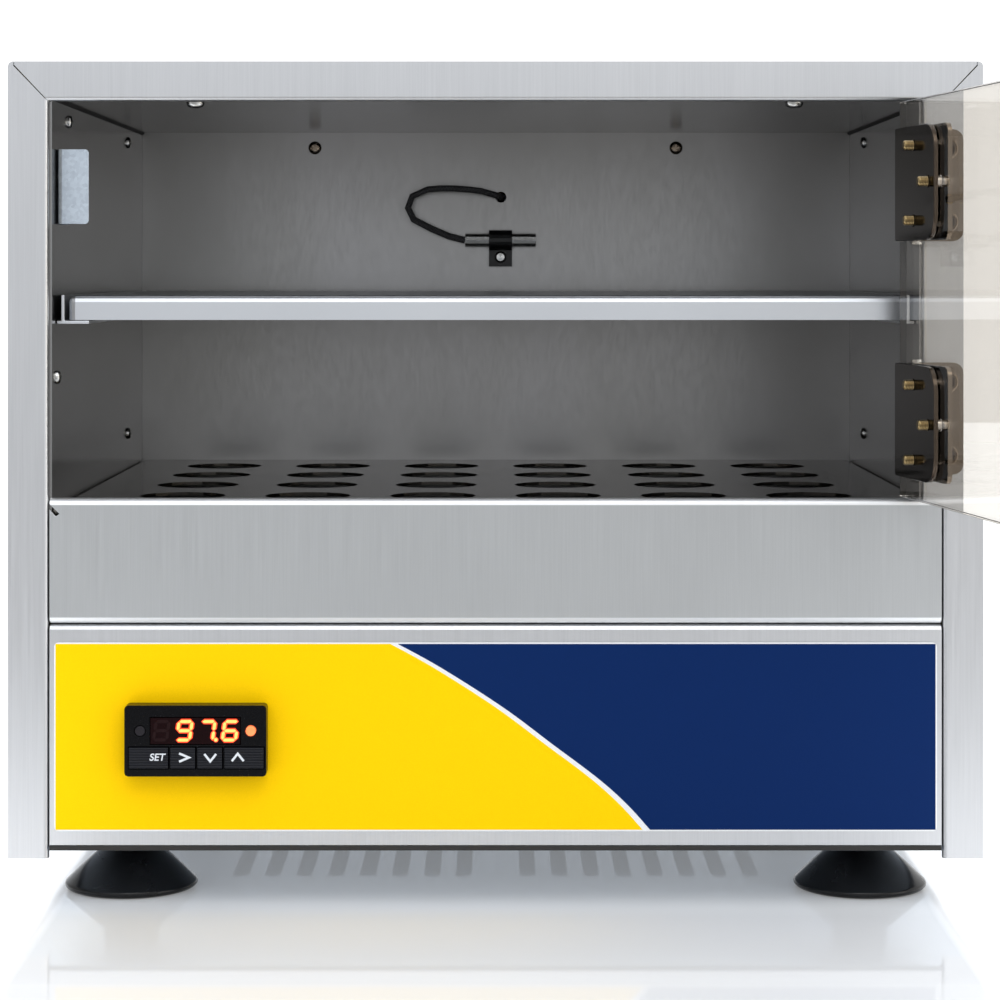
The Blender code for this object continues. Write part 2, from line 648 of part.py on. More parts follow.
# ---------------------------------------------------------------- the chamber
def make_chamber():
    half = CHAMBER_HALF + LINER
    path = [(-half, LINER_BOTTOM), (-half, CEILING + LINER), (half, CEILING + LINER),
            (half, LINER_BOTTOM)]
    folded("chamber_wrap", path, "XZ", (CHAMBER_FRONT, CHAMBER_BACK - GAP), "dull_steel", case,
           sheet=LINER)
    back = add_piece("chamber_back", box(
        "chamber_back", (-half, CHAMBER_BACK, LINER_BOTTOM),
        (half, CHAMBER_BACK + LINER, CEILING + LINER)), "dull_steel", case)
    cut(back, lead_bore)
    cut(back, clip_bore)

    half = CHAMBER_HALF - GAP
    low, high = CHAMBER_FRONT, CHAMBER_BACK - GAP
    path = [(-half, FLOOR_TOP - FLOOR_FLANGE), (-half, FLOOR_TOP), (half, FLOOR_TOP),
            (half, FLOOR_TOP - FLOOR_FLANGE)]
    floor = folded("chamber_floor", path, "XZ", (low, high), "dull_steel", case)
    columns = 1 + int((2 * half - 2 * HOLE_EDGE) / HOLE_PITCH_X)
    rows = 1 + int((high - low - 2 * HOLE_EDGE) / HOLE_PITCH_Y)
    spans = []
    for row in range(rows):
        for column in range(columns):
            x = (column - (columns - 1) / 2) * HOLE_PITCH_X
            y = (low + high) / 2 + HOLE_SHIFT_Y + (row - (rows - 1) / 2) * HOLE_PITCH_Y
            spans.append(((x, y, FLOOR_TOP - SHEET / 2), HOLE_RADIUS, 4 * SHEET))
    cut(floor, add_cutter("floor_holes", rods("floor_holes", "Z", 16, spans), case))


def make_divider():
    """The plate between the heater's space and the electronics, flanged down at its sides."""
    half = CHAMBER_HALF + LINER
    path = [(-half, DIVIDER_TOP - DIVIDER_FLANGE), (-half, DIVIDER_TOP), (half, DIVIDER_TOP),
            (half, DIVIDER_TOP - DIVIDER_FLANGE)]
    divider = folded("divider_plate", path, "XZ", (DIVIDER_FRONT, CHAMBER_BACK), "dull_steel", case)
    spans = [((ELEMENT_END, y, DIVIDER_TOP), ELEMENT_HOLE, 4 * SHEET)
             for y in (ELEMENT_FRONT, CHAMBER_BACK - ELEMENT_BACK_ROOM)]
    cut(divider, add_cutter("element_holes", rods("element_holes", "Z", 12, spans), case))


def make_insulation():
    inner = CHAMBER_HALF + LINER + GAP
    low, high = LIP + 2 * GAP, CHAMBER_BACK + LINER
    ceiling = CEILING + LINER
    for side, name in ((-1, "insulation_left"), (1, "insulation_right")):
        near, far = sorted((side * inner, side * INNER_HALF))
        add_piece(name, box(name, (near, low, INSULATION_BOTTOM), (far, high, ceiling)),
                  "mineral_wool", case)
    add_piece("insulation_top", box(
        "insulation_top", (-INNER_HALF, low, ceiling + GAP),
        (INNER_HALF, high, CASE_TOP - SHEET - GAP)), "mineral_wool", case)
    back = add_piece("insulation_back", box(
        "insulation_back", (-INNER_HALF, high + GAP, LINER_BOTTOM),
        (INNER_HALF, REAR_FACE - REAR_GAP, CASE_TOP - SHEET - GAP)), "mineral_wool", case)
    cut(back, lead_bore)


def make_shelf():
    """A flat tray with its edges folded down, and the two angles that carry it."""
    shell = bmesh.new()
    made = bmesh.ops.create_cube(shell, size=1.0)["verts"]
    size = Vector((2 * SHELF_HALF, SHELF_BACK - SHELF_FRONT, SHELF_HEIGHT))
    bmesh.ops.scale(shell, vec=size, verts=made)
    under = [f for f in shell.faces if f.normal.z < -0.5]
    bmesh.ops.delete(shell, geom=under, context="FACES_ONLY")
    mesh = bpy.data.meshes.new("shelf")
    shell.to_mesh(mesh)
    shell.free()
    middle = (0, (SHELF_FRONT + SHELF_BACK) / 2, (SHELF_TOP + SHELF_BOTTOM) / 2)
    shelf = add_piece("shelf", mesh, "brushed_steel", case, middle)
    rounding = shelf.modifiers.new("fold", "BEVEL")
    rounding.width = SHELF_BEND
    rounding.segments = 3
    thickness = shelf.modifiers.new("sheet", "SOLIDIFY")
    thickness.thickness = SHEET
    thickness.offset = -1.0
    thickness.use_even_offset = True

    wall = CHAMBER_HALF - GAP
    leg_top = SHELF_BOTTOM - GAP
    for side, name in ((-1, "shelf_rail_left"), (1, "shelf_rail_right")):
        upright = side * (wall - RAIL_STAND)
        path = [(upright, SHELF_TOP), (upright, leg_top - RAIL_SHEET),
                (side * (wall - RAIL_LEG), leg_top - RAIL_SHEET)]
        if side < 0:
            path.reverse()
        rail = folded(name, path, "XZ", (RAIL_FRONT, SHELF_BACK), "dull_steel", case,
                      sheet=RAIL_SHEET, bend=RAIL_BEND)
        near, far = sorted((side * wall, side * (wall - RAIL_STAND - 2 * RAIL_BEND)))
        unite(rail, add_cutter(name + "_toe", box(
            name + "_toe", (near, RAIL_FRONT, leg_top - RAIL_SHEET),
            (far, SHELF_BACK, leg_top)), case))


def make_strike_tab():
    wall = -CHAMBER_HALF + GAP
    face = DOOR_THICK + GAP + MAGNET_THICK + GAP
    path = [(wall, face + TAB_WALL_LEG), (wall, face), (wall + TAB_REACH, face)]
    span = (LATCH_Z - TAB_HEIGHT / 2, LATCH_Z + TAB_HEIGHT / 2)
    folded("strike_tab", path, "XY", span, "galvanised_steel", case)


def make_sensor():
    """Probe tube in a clip on the back wall; its lead loops back and out through the wall."""
    across, up = PROBE_MIDDLE
    probe = rod("sensor_probe", "X", (0, 0, 0), PROBE_RADIUS, PROBE_LENGTH, 12)
    probe_y = CHAMBER_BACK - PROBE_OFF_WALL
    add_piece("sensor_probe", probe, "bright_steel", case, (across, probe_y, up))

    # the clip, seen from the side: a ring with a tail that lies on the wall
    bore = PROBE_RADIUS + GAP
    ring = PROBE_OFF_WALL - GAP
    inside = ring - 2 * CLIP_THICK
    end = -CLIP_SCREW_DROP - 0.0040
    arc = 2 * math.pi - math.acos(inside / ring)
    outline = [(ring, end)]
    outline += [(ring * math.cos(arc * i / 14), ring * math.sin(arc * i / 14)) for i in range(15)]
    outline += [(inside, end)]
    clip = add_piece("probe_clip", plate("probe_clip", [outline, circle(bore, (0, 0))], CLIP_WIDTH),
                     "black_rubber", case, (across, probe_y, up), SIDEWAYS)
    screw_z = up - CLIP_SCREW_DROP
    cut(clip, clip_bore)
    seat = GAP + 2 * CLIP_THICK + GAP + LINER      # from the screw's head to its end
    profile = [(0, seat + 0.0016), (0.0017, seat + 0.0014), (0.0025, seat + 0.0004), (0.0025, seat),
               (CLIP_SCREW_RADIUS, seat), (CLIP_SCREW_RADIUS, 0), (0, 0)]
    turned("clip_screw", profile, "bright_steel", case, (across, CHAMBER_BACK + LINER, screw_z),
           UPRIGHT, steps=12)

    wall, (hole_x, hole_z) = CHAMBER_BACK, LEAD_HOLE
    rear = REAR_FACE - 0.0040                      # the lead runs down behind the insulation
    body_end = PANEL_FACE + CONTROLLER_DEPTH
    tip = across - PROBE_LENGTH / 2 - GAP
    points = [(tip, probe_y, up), (-0.0200, wall - 0.0052, 0.2317), (-0.0273, wall - 0.0062, 0.2348),
              (-0.0350, wall - 0.0075, 0.2388), (-0.0374, wall - 0.0085, 0.2438),
              (-0.0355, wall - 0.0095, 0.2487), (-0.0290, wall - 0.0105, 0.2515),
              (-0.0174, wall - 0.0105, 0.2519), (-0.0060, wall - 0.0085, 0.2508),
              (0.0000, wall - 0.0050, 0.2492), (hole_x, wall + 0.0005, hole_z),
              (hole_x, wall + 0.0200, hole_z), (hole_x, rear - 0.0030, hole_z - 0.0012),
              (hole_x, rear, hole_z - 0.010), (hole_x, rear, 0.2000), (hole_x, rear, 0.1500),
              (hole_x, rear - 0.0005, 0.1000), (-0.0010, rear - 0.0080, 0.0800),
              (-0.0200, rear - 0.0500, 0.0700), (-0.0650, wall - 0.0900, 0.0660),
              (CONTROLLER_X + 0.004, body_end + 0.0250, 0.0600),
              (CONTROLLER_X, body_end + 0.0080, CONTROLLER_Z),
              (CONTROLLER_X, body_end + GAP, CONTROLLER_Z)]
    wire("sensor_lead", smooth_route(points, 5 * LEAD_RADIUS), LEAD_RADIUS, "wire_sleeve", case)


# ---------------------------------------------------------------- the heater and the electronics
def make_heater():
    """A tubular element in four passes over the divider, held up by two hat-shaped strips."""
    first, last = ELEMENT_FRONT, CHAMBER_BACK - ELEMENT_BACK_ROOM
    passes = [first + (last - first) * i / 3 for i in range(4)]
    tail = DIVIDER_TOP - ELEMENT_TAIL
    corners = [(ELEMENT_END, passes[0], tail)]
    for number, y in enumerate(passes):
        ends = (ELEMENT_END, -ELEMENT_END) if number % 2 == 0 else (-ELEMENT_END, ELEMENT_END)
        corners += [(x, y, ELEMENT_Z) for x in ends]
    corners.append((ELEMENT_END, passes[3], tail))
    wire("heater_element", rounded_route(corners, ELEMENT_BEND), ELEMENT_RADIUS, "dull_steel", case)

    foot, top = DIVIDER_TOP + GAP, ELEMENT_Z - ELEMENT_RADIUS - GAP
    path = [(last + BRACKET_WIDTH, foot), (last + BRACKET_WIDTH, top),
            (first - BRACKET_WIDTH, top), (first - BRACKET_WIDTH, foot)]
    for side, name in ((-1, "element_bracket_left"), (1, "element_bracket_right")):
        x = side * BRACKET_FROM_MIDDLE
        folded(name, path, "YZ", (x - BRACKET_WIDTH / 2, x + BRACKET_WIDTH / 2), "dull_steel", case)


def make_electronics():
    across, back = THERMOSTAT_PLACE
    top = DIVIDER_TOP - SHEET - GAP
    profile = [(0, 0), (THERMOSTAT_FLANGE, 0), (THERMOSTAT_FLANGE, -0.0012),
               (THERMOSTAT_RADIUS, -0.0012), (THERMOSTAT_RADIUS, -THERMOSTAT_HEIGHT),
               (0, -THERMOSTAT_HEIGHT)]
    thermostat = turned("limit_thermostat", profile, "black_plastic", case, (across, back, top))
    tabs = [((x - 0.0004, -0.0032, -THERMOSTAT_HEIGHT - 0.008), (x + 0.0004, 0.0032, -0.005))
            for x in (-0.0045, 0.0045)]
    unite(thermostat, add_cutter("thermostat_tabs", boxes("thermostat_tabs", tabs), case,
                                 (across, back, top)))

    low = PAN_TOP + GAP
    width, depth, height = RELAY_SIZE
    relay = add_piece("solid_state_relay", box(
        "solid_state_relay", (-width / 2, -depth / 2, 0), (width / 2, depth / 2, RELAY_PLATE)),
        "dull_steel", case, (*RELAY_PLACE, low))
    case_half = depth / 2 - 0.003
    body = box("relay_body", (-width / 2 + 0.001, -case_half, RELAY_PLATE / 2),
               (width / 2 - 0.001, case_half, height))
    unite(relay, add_cutter("relay_body", body, case, (*RELAY_PLACE, low)))

    width, depth, height = BLOCK_SIZE
    block = add_piece("terminal_block", box(
        "terminal_block", (-width / 2, -depth / 2, 0), (width / 2, depth / 2, 0.6 * height)),
        "grey_plastic", case, (*BLOCK_PLACE, low))
    way = width / BLOCK_WAYS
    ribs = []
    for number in range(1, BLOCK_WAYS):
        x = -width / 2 + number * way
        ribs.append(((x - 0.001, -depth / 2 + 0.001, 0.3 * height), (x + 0.001, depth / 2 - 0.001, height)))
    unite(block, add_cutter("block_ribs", boxes("block_ribs", ribs), case, (*BLOCK_PLACE, low)))


def make_wiring():
    """The mains loom from the inlet, and the heater's loom from the relay."""
    low = PAN_TOP + 3 * LOOM_RADIUS
    back = INLET_BODY_BACK - GAP
    block_x = BLOCK_PLACE[0]
    block_y = BLOCK_PLACE[1] + BLOCK_SIZE[1] / 2 + GAP
    block_z = PAN_TOP + GAP + 0.006
    points = [(INLET_X, back, INLET_Z), (INLET_X, back - 0.008, INLET_Z),
              (INLET_X - 0.010, back - 0.025, INLET_Z - 0.014), (INLET_X - 0.045, back - 0.045, low),
              (block_x + 0.045, block_y + 0.060, low), (block_x + 0.008, block_y + 0.030, low),
              (block_x, block_y + 0.012, block_z), (block_x, block_y, block_z)]
    wire("mains_wiring", smooth_route(points, 0.008), LOOM_RADIUS, "wire_sleeve", case)

    tail = DIVIDER_TOP - ELEMENT_TAIL - GAP
    side = RELAY_PLACE[0] + RELAY_SIZE[0] / 2
    points = [(ELEMENT_END, ELEMENT_FRONT, tail), (ELEMENT_END, ELEMENT_FRONT, tail - 0.010),
              (ELEMENT_END - 0.006, ELEMENT_FRONT + 0.008, tail - 0.026),
              (side + 0.020, RELAY_PLACE[1] - 0.008, PAN_TOP + 0.020),
              (side + 0.008, RELAY_PLACE[1], PAN_TOP + 0.012), (side + GAP, RELAY_PLACE[1], PAN_TOP + 0.012)]
    wire("heater_wiring", smooth_route(points, 0.008), LOOM_RADIUS, "wire_sleeve", case)


# ---------------------------------------------------------------- controller, inlet and switch
def make_controller():
    """1/32 DIN temperature controller: bezel, window, lights and four sprung keys."""
    x, z = CONTROLLER_X, CONTROLLER_Z
    half_w, half_h = CONTROLLER_WIDTH / 2, CONTROLLER_HEIGHT / 2
    bezel = add_piece("controller_bezel", plate("controller_bezel", [rounded_rectangle(
        CONTROLLER_WIDTH, CONTROLLER_HEIGHT, 0.0012, steps=2)], CONTROLLER_PROUD), "black_plastic",
        case, (x, (BEZEL_FACE + BEZEL_BACK) / 2, z), UPRIGHT)
    wells = [((-WINDOW_WIDTH / 2 - GAP, -0.01, WINDOW_RISE - WINDOW_HEIGHT / 2 - GAP),
              (WINDOW_WIDTH / 2 + GAP, WINDOW_DEPTH + GAP, WINDOW_RISE + WINDOW_HEIGHT / 2 + GAP))]
    for name, width, across in KEYS:
        wells.append(((across - width / 2 - GAP, -0.01, -KEY_DROP - KEY_HEIGHT / 2 - GAP),
                      (across + width / 2 + GAP, KEY_WELL, -KEY_DROP + KEY_HEIGHT / 2 + GAP)))
    cut(bezel, add_cutter("bezel_wells", boxes("bezel_wells", wells), case, (x, BEZEL_FACE, z)))
    lights = [((side * LIGHT_OFFSET, 0, WINDOW_RISE), LIGHT_RADIUS + GAP, 2 * (WINDOW_DEPTH + GAP))
              for side in (-1, 1)]
    cut(bezel, add_cutter("light_wells", rods("light_wells", "Y", 12, lights), case,
                          (x, BEZEL_FACE, z)))

    add_piece("display_window", box(
        "display_window", (-WINDOW_WIDTH / 2, 0, -WINDOW_HEIGHT / 2),
        (WINDOW_WIDTH / 2, WINDOW_DEPTH, WINDOW_HEIGHT / 2)), "red_window", case,
        (x, BEZEL_FACE, z + WINDOW_RISE))
    for side, name in ((-1, "output_light"), (1, "alarm_light")):
        add_piece(name, rod(name, "Y", (0, WINDOW_DEPTH / 2, 0), LIGHT_RADIUS, WINDOW_DEPTH, 12),
                  "red_light", case, (x + side * LIGHT_OFFSET, BEZEL_FACE, z + WINDOW_RISE))
    for name, width, across in KEYS:
        add_piece(name, box(name, (-width / 2, -KEY_PROUD, -KEY_HEIGHT / 2),
                            (width / 2, KEY_BODY - KEY_PROUD, KEY_HEIGHT / 2)), "black_plastic",
                  case, (x + across, BEZEL_FACE, z - KEY_DROP))

    body_w, body_h = CONTROLLER_BODY_WIDTH / 2, CONTROLLER_BODY_HEIGHT / 2
    add_piece("controller_body", box(
        "controller_body", (-body_w, BEZEL_BACK + GAP, -body_h),
        (body_w, PANEL_FACE + CONTROLLER_DEPTH, body_h)), "grey_plastic", case, (x, 0, z))
    opening = rounded_rectangle(CUTOUT_WIDTH, CUTOUT_HEIGHT, 0)
    outer = rounded_rectangle(CUTOUT_WIDTH + 2 * COLLAR_WALL, CUTOUT_HEIGHT + 2 * COLLAR_WALL, 0.001,
                              steps=1)
    add_piece("mounting_collar", plate("mounting_collar", [outer, opening], COLLAR_DEPTH),
              "grey_plastic", case, (x, PANEL_BACK + GAP + COLLAR_DEPTH / 2, z), UPRIGHT)


def make_inlet():
    """Appliance inlet in the rear panel, with a fuse drawer over its socket."""
    place = (INLET_X, 0, INLET_Z)
    seat = CASE_DEPTH + GAP
    half_w, half_h = INLET_WIDTH / 2, INLET_HEIGHT / 2
    inlet = add_piece("mains_inlet", box(
        "mains_inlet", (-half_w, seat, -half_h), (half_w, INLET_FACE, half_h)), "black_plastic",
        case, place)
    inset = INLET_WALL + GAP
    body = box("inlet_body", (-half_w + inset, INLET_BODY_BACK, -half_h + inset),
               (half_w - inset, seat + INLET_FLANGE / 2, half_h - inset))
    unite(inlet, add_cutter("inlet_body", body, case, place))
    floor = INLET_FACE - SOCKET_DEPTH
    recess = ((-SOCKET_WIDTH / 2, floor, -SOCKET_DROP - SOCKET_HEIGHT / 2),
              (SOCKET_WIDTH / 2, INLET_FACE + 0.01, -SOCKET_DROP + SOCKET_HEIGHT / 2))
    drawer_half = DRAWER_WIDTH / 2
    pocket = ((-drawer_half - GAP, INLET_FACE - DRAWER_DEPTH - GAP, DRAWER_RISE - DRAWER_HEIGHT / 2 - GAP),
              (drawer_half + GAP, INLET_FACE + 0.01, DRAWER_RISE + DRAWER_HEIGHT / 2 + GAP))
    cut(inlet, add_cutter("inlet_hollows", boxes("inlet_hollows", [recess, pocket]), case, place))
    blades = []
    for x, z in ((-BLADE_OFFSET, -SOCKET_DROP - EARTH_RISE / 2), (0, -SOCKET_DROP + EARTH_RISE),
                 (BLADE_OFFSET, -SOCKET_DROP - EARTH_RISE / 2)):
        blades.append(((x - BLADE[0] / 2, floor - 0.001, z - BLADE[1] / 2),
                       (x + BLADE[0] / 2, floor + BLADE_LENGTH, z + BLADE[1] / 2)))
    unite(inlet, add_cutter("inlet_blades", boxes("inlet_blades", blades), case, place))
    add_piece("fuse_drawer", box(
        "fuse_drawer", (-drawer_half, -DRAWER_DEPTH, -DRAWER_HEIGHT / 2),
        (drawer_half, DRAWER_GRIP, DRAWER_HEIGHT / 2)), "grey_plastic", case,
        (INLET_X, INLET_FACE, INLET_Z + DRAWER_RISE))


def make_switch():
    place = (SWITCH_X, 0, INLET_Z)
    half_w, half_h = SWITCH_WIDTH / 2, SWITCH_HEIGHT / 2
    inset = SWITCH_WALL + GAP
    switch = add_piece("power_switch", box(
        "power_switch", (-half_w, CASE_DEPTH + GAP, -half_h), (half_w, SWITCH_FACE, half_h)),
        "black_plastic", case, place)
    body = box("switch_body", (-half_w + inset, CASE_DEPTH - SWITCH_BODY_DEPTH, -half_h + inset),
               (half_w - inset, SWITCH_FACE - SWITCH_FLANGE / 2, half_h - inset))
    unite(switch, add_cutter("switch_body", body, case, place))
    well_half = ROCKER_WIDTH / 2 + GAP
    well = box("switch_well", (-well_half, ROCKER_AXIS_Y - ROCKER_BELLY - ROCKER_ROOM, -ROCKER_WELL_HALF),
               (well_half, SWITCH_FACE + 0.01, ROCKER_WELL_HALF))
    cut(switch, add_cutter("switch_well", well, case, place))

    outline = [(0.0012, 0), (ROCKER_LIFT, ROCKER_HALF), (0, ROCKER_HALF - 0.0004)]
    for step in range(7):
        angle = math.radians(105 + 150 * step / 6)
        outline.append((ROCKER_BELLY * math.cos(angle), ROCKER_BELLY * math.sin(angle)))
    outline += [(0, -ROCKER_HALF + 0.0004), (ROCKER_LIFT, -ROCKER_HALF)]
    quarter = math.pi / 2
    add_piece("power_rocker", plate("power_rocker", [outline], ROCKER_WIDTH), "black_plastic", case,
              (SWITCH_X, ROCKER_AXIS_Y, INLET_Z), (quarter, ROCKER_TILT, quarter))


# ---------------------------------------------------------------- the door and its hinges
def make_door():
    """The pane with its knob and magnet, placed as if shut and carried by the hinge's empty."""
    shift = Vector((-PIN_X, -PIN_Y, 0))
    pane = add_piece("door_pane", box("door_pane", (DOOR_LEFT, 0, DOOR_BOTTOM),
                                      (DOOR_RIGHT, DOOR_THICK, DOOR_TOP)), "clear_acrylic", door, shift)
    middle = DOOR_THICK / 2
    spans = [((x, middle, z), HINGE_SCREW_RADIUS, 3 * DOOR_THICK) for x, z in pane_screws()]
    spans.append(((KNOB_X, middle, LATCH_Z), HINGE_SCREW_RADIUS, 3 * DOOR_THICK))
    cut(pane, add_cutter("pane_holes", rods("pane_holes", "Y", 12, spans), door, shift))

    length, bore = KNOB_LENGTH, KNOB_SCREW_RADIUS + GAP
    profile = [(0, length), (KNOB_RADIUS - 0.0020, length), (KNOB_RADIUS, length - 0.0020),
               (KNOB_RADIUS, length - 0.0060), (KNOB_STEM, length - 0.0090), (KNOB_STEM, 0.0020),
               (KNOB_STEM + 0.0008, 0), (bore, 0), (bore, KNOB_BORE_DEPTH), (0, KNOB_BORE_DEPTH)]
    turned("door_knob", profile, "black_plastic", door,
           shift + Vector((KNOB_X, -GAP, LATCH_Z)), UPRIGHT)

    seat = DOOR_THICK + GAP
    hole, counterbore = KNOB_SCREW_RADIUS + GAP, KNOB_SCREW_HEAD + GAP
    floor = MAGNET_THICK - 0.0012
    profile = [(MAGNET_RADIUS, MAGNET_THICK), (MAGNET_RADIUS, 0), (hole, 0), (hole, floor),
               (counterbore, floor), (counterbore, MAGNET_THICK), (MAGNET_RADIUS, MAGNET_THICK)]
    inward = (-math.pi / 2, 0, 0)
    turned("door_magnet", profile, "magnet", door, shift + Vector((KNOB_X, seat, LATCH_Z)), inward)
    head = floor + GAP
    end = -seat - KNOB_BORE_DEPTH + 0.001
    profile = [(0, head + 0.0007), (KNOB_SCREW_HEAD, head + 0.0007), (KNOB_SCREW_HEAD, head),
               (KNOB_SCREW_RADIUS, head), (KNOB_SCREW_RADIUS, end), (0, end)]
    turned("knob_screw", profile, "bright_steel", door, shift + Vector((KNOB_X, seat, LATCH_Z)),
           inward, steps=12)


def pane_screws():
    """Each hinge has two screws near the pane's edge and one further in, as (across, up)."""
    places = []
    for name, height in HINGES:
        places += [(DOOR_RIGHT - NEAR_SCREW, height + FRAME_SCREW_RISE),
                   (DOOR_RIGHT - NEAR_SCREW, height - FRAME_SCREW_RISE),
                   (DOOR_RIGHT - FAR_SCREW, height)]
    return places


def leaf_outline(near, far, corner, holes):
    """A leaf between two distances from the pin, its far corners rounded, with its holes."""
    width, middle = abs(far - near), (near + far) / 2
    radius = (0, corner) if far > near else (corner, 0)
    outline = rounded_rectangle(width, LEAF_HEIGHT, radius, (middle, 0))
    return [outline] + [circle(HINGE_SCREW_RADIUS, hole) for hole in holes]


def add_leaf(name, parent, place, side, reach, holes, knuckles):
    """A hinge leaf on one side of the pin (-1 or 1), with its knuckles as (low, high)."""
    level = PIN_FROM_FACE - GAP - LEAF_THICK / 2      # the leaf's middle, behind the pin
    clear = KNUCKLE_RADIUS + GAP
    outlines = leaf_outline(side * clear, side * reach, LEAF_CORNER, holes)
    leaf = add_piece(name, plate(name, outlines, LEAF_THICK), "bright_steel", parent,
                     place + Vector((0, level, 0)), UPRIGHT)
    tabs, barrels = [], []
    for low, high in knuckles:
        near, far = sorted((0, side * (clear + LEAF_THICK / 2)))
        tabs.append(((near, level - LEAF_THICK / 2, low), (far, level + LEAF_THICK / 2, high)))
        barrels.append(((0, 0, (low + high) / 2), KNUCKLE_RADIUS, high - low))
    unite(leaf, add_cutter(name + "_tabs", boxes(name + "_tabs", tabs), parent, place))
    unite(leaf, add_cutter(name + "_barrels", rods(name + "_barrels", "Z", 16, barrels), parent, place))
    bore = rod(name + "_bore", "Z", (0, 0, 0), PIN_RADIUS + PIN_CLEARANCE, 2 * LEAF_HEIGHT, 16)
    cut(leaf, add_cutter(name + "_bore", bore, parent, place))


def make_hinges():
    half, third = LEAF_HEIGHT / 2, LEAF_HEIGHT / 6
    frame_reach = CASE_HALF - LEAF_EDGE_ROOM - PIN_X
    door_reach = DOOR_LEAF_REACH - PIN_FROM_EDGE
    for name, height in HINGES:
        frame_holes = [(FRAME_SCREW_FROM_PIN, FRAME_SCREW_RISE), (FRAME_SCREW_FROM_PIN, -FRAME_SCREW_RISE)]
        add_leaf(name + "_frame_leaf", case, Vector((PIN_X, PIN_Y, height)), 1, frame_reach,
                 frame_holes, [(-half, -third - GAP / 2), (third + GAP / 2, half)])
        door_holes = [(PIN_FROM_EDGE - NEAR_SCREW, FRAME_SCREW_RISE),
                      (PIN_FROM_EDGE - NEAR_SCREW, -FRAME_SCREW_RISE), (PIN_FROM_EDGE - FAR_SCREW, 0)]
        add_leaf(name + "_door_leaf", door, Vector((0, 0, height)), -1, door_reach, door_holes,
                 [(-third + GAP / 2, third - GAP / 2)])

        pin_half = half + GAP
        cap = pin_half + 0.0008
        profile = [(0, cap), (PIN_HEAD, cap), (PIN_HEAD, pin_half), (PIN_RADIUS, pin_half),
                   (PIN_RADIUS, -pin_half), (PIN_HEAD, -pin_half), (PIN_HEAD, -cap), (0, -cap)]
        turned(name + "_hinge_pin", profile, "bright_steel", case, (PIN_X, PIN_Y, height), steps=16)

        width = DOOR_LEAF_REACH - 2 * GAP
        middle = PIN_FROM_EDGE - DOOR_LEAF_REACH / 2
        outline = rounded_rectangle(width, LEAF_HEIGHT, (CLAMP_CORNER, 0.0008), (middle, 0))
        holes = [circle(HINGE_SCREW_RADIUS, hole) for hole in door_holes]
        depth = PIN_FROM_FACE + DOOR_THICK + GAP + LEAF_THICK / 2
        add_piece(name + "_clamp_plate", plate(name + "_clamp_plate", [outline] + holes, LEAF_THICK),
                  "dark_nickel", door, (0, depth, height), UPRIGHT)


# ---------------------------------------------------------------- where the world's origin lies
def resting_middle():
    """The middle of the box round the whole object at rest, across and back."""
    def from_pin(x, y):
        turn = Matrix.Rotation(DOOR_OPEN, 2)
        return turn @ Vector((x - PIN_X, y - PIN_Y)) + Vector((PIN_X, PIN_Y))
    knob = from_pin(KNOB_X, -GAP - KNOB_LENGTH)
    free_edge = from_pin(DOOR_LEFT, DOOR_THICK)
    right = max(CASE_HALF, knob.x)
    front, back = min(0.0, free_edge.y), INLET_FACE + DRAWER_GRIP
    return (right - CASE_HALF) / 2, (front + back) / 2


clear_scene()
pieces = new_collection("laboratory_incubator")
cutters = new_collection("cutters")
middle_x, middle_y = resting_middle()
case = add_empty("case", None, (-middle_x, -middle_y, 0))
door = add_empty("door", case, (PIN_X, PIN_Y, 0), (0, 0, DOOR_OPEN))
lead_bore = add_cutter("lead_bore", rod("lead_bore", "Y", (0, 0, 0), LEAD_HOLE_RADIUS,
                                        4 * REAR_ROOM, 12), case,
                       (LEAD_HOLE[0], CHAMBER_BACK, LEAD_HOLE[1]))
clip_bore = add_cutter("clip_bore", rod("clip_bore", "Y", (0, 0, 0), CLIP_SCREW_RADIUS + GAP,
                                        2 * PROBE_OFF_WALL, 12), case,
                       (PROBE_MIDDLE[0], CHAMBER_BACK - 0.001, PROBE_MIDDLE[1] - CLIP_SCREW_DROP))
make_cover()
make_base_pan()
make_front_panels()
make_rear_panel()
make_feet()
make_chamber()
make_divider()
make_insulation()
make_shelf()
make_strike_tab()
make_sensor()
make_heater()
make_electronics()
make_wiring()
make_controller()
make_inlet()
make_switch()
make_door()
make_hinges()
bpy.context.view_layer.update()
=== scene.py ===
import json
import math

import bmesh
import bpy
from mathutils import Matrix, Vector


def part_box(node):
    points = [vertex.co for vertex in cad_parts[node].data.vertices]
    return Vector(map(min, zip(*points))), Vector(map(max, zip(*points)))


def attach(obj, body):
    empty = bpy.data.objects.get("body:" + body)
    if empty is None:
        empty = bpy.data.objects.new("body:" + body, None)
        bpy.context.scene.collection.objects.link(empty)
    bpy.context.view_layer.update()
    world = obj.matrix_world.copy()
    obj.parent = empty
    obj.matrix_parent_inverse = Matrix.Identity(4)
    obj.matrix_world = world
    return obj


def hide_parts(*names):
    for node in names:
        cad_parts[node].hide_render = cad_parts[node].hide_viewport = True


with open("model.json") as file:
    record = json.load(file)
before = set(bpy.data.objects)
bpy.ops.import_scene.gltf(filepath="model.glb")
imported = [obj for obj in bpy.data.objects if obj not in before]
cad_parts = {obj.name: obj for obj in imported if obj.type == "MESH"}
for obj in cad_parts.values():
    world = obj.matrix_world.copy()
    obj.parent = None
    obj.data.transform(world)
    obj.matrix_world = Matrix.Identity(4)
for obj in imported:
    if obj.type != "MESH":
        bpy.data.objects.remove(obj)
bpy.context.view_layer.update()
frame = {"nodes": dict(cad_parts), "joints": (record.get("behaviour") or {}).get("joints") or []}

mm = 0.001
nodes = frame["nodes"]
coverLow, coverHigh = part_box("outer_cover")
caseMiddle = (coverLow.x + coverHigh.x) / 2
frontFace = coverLow.y


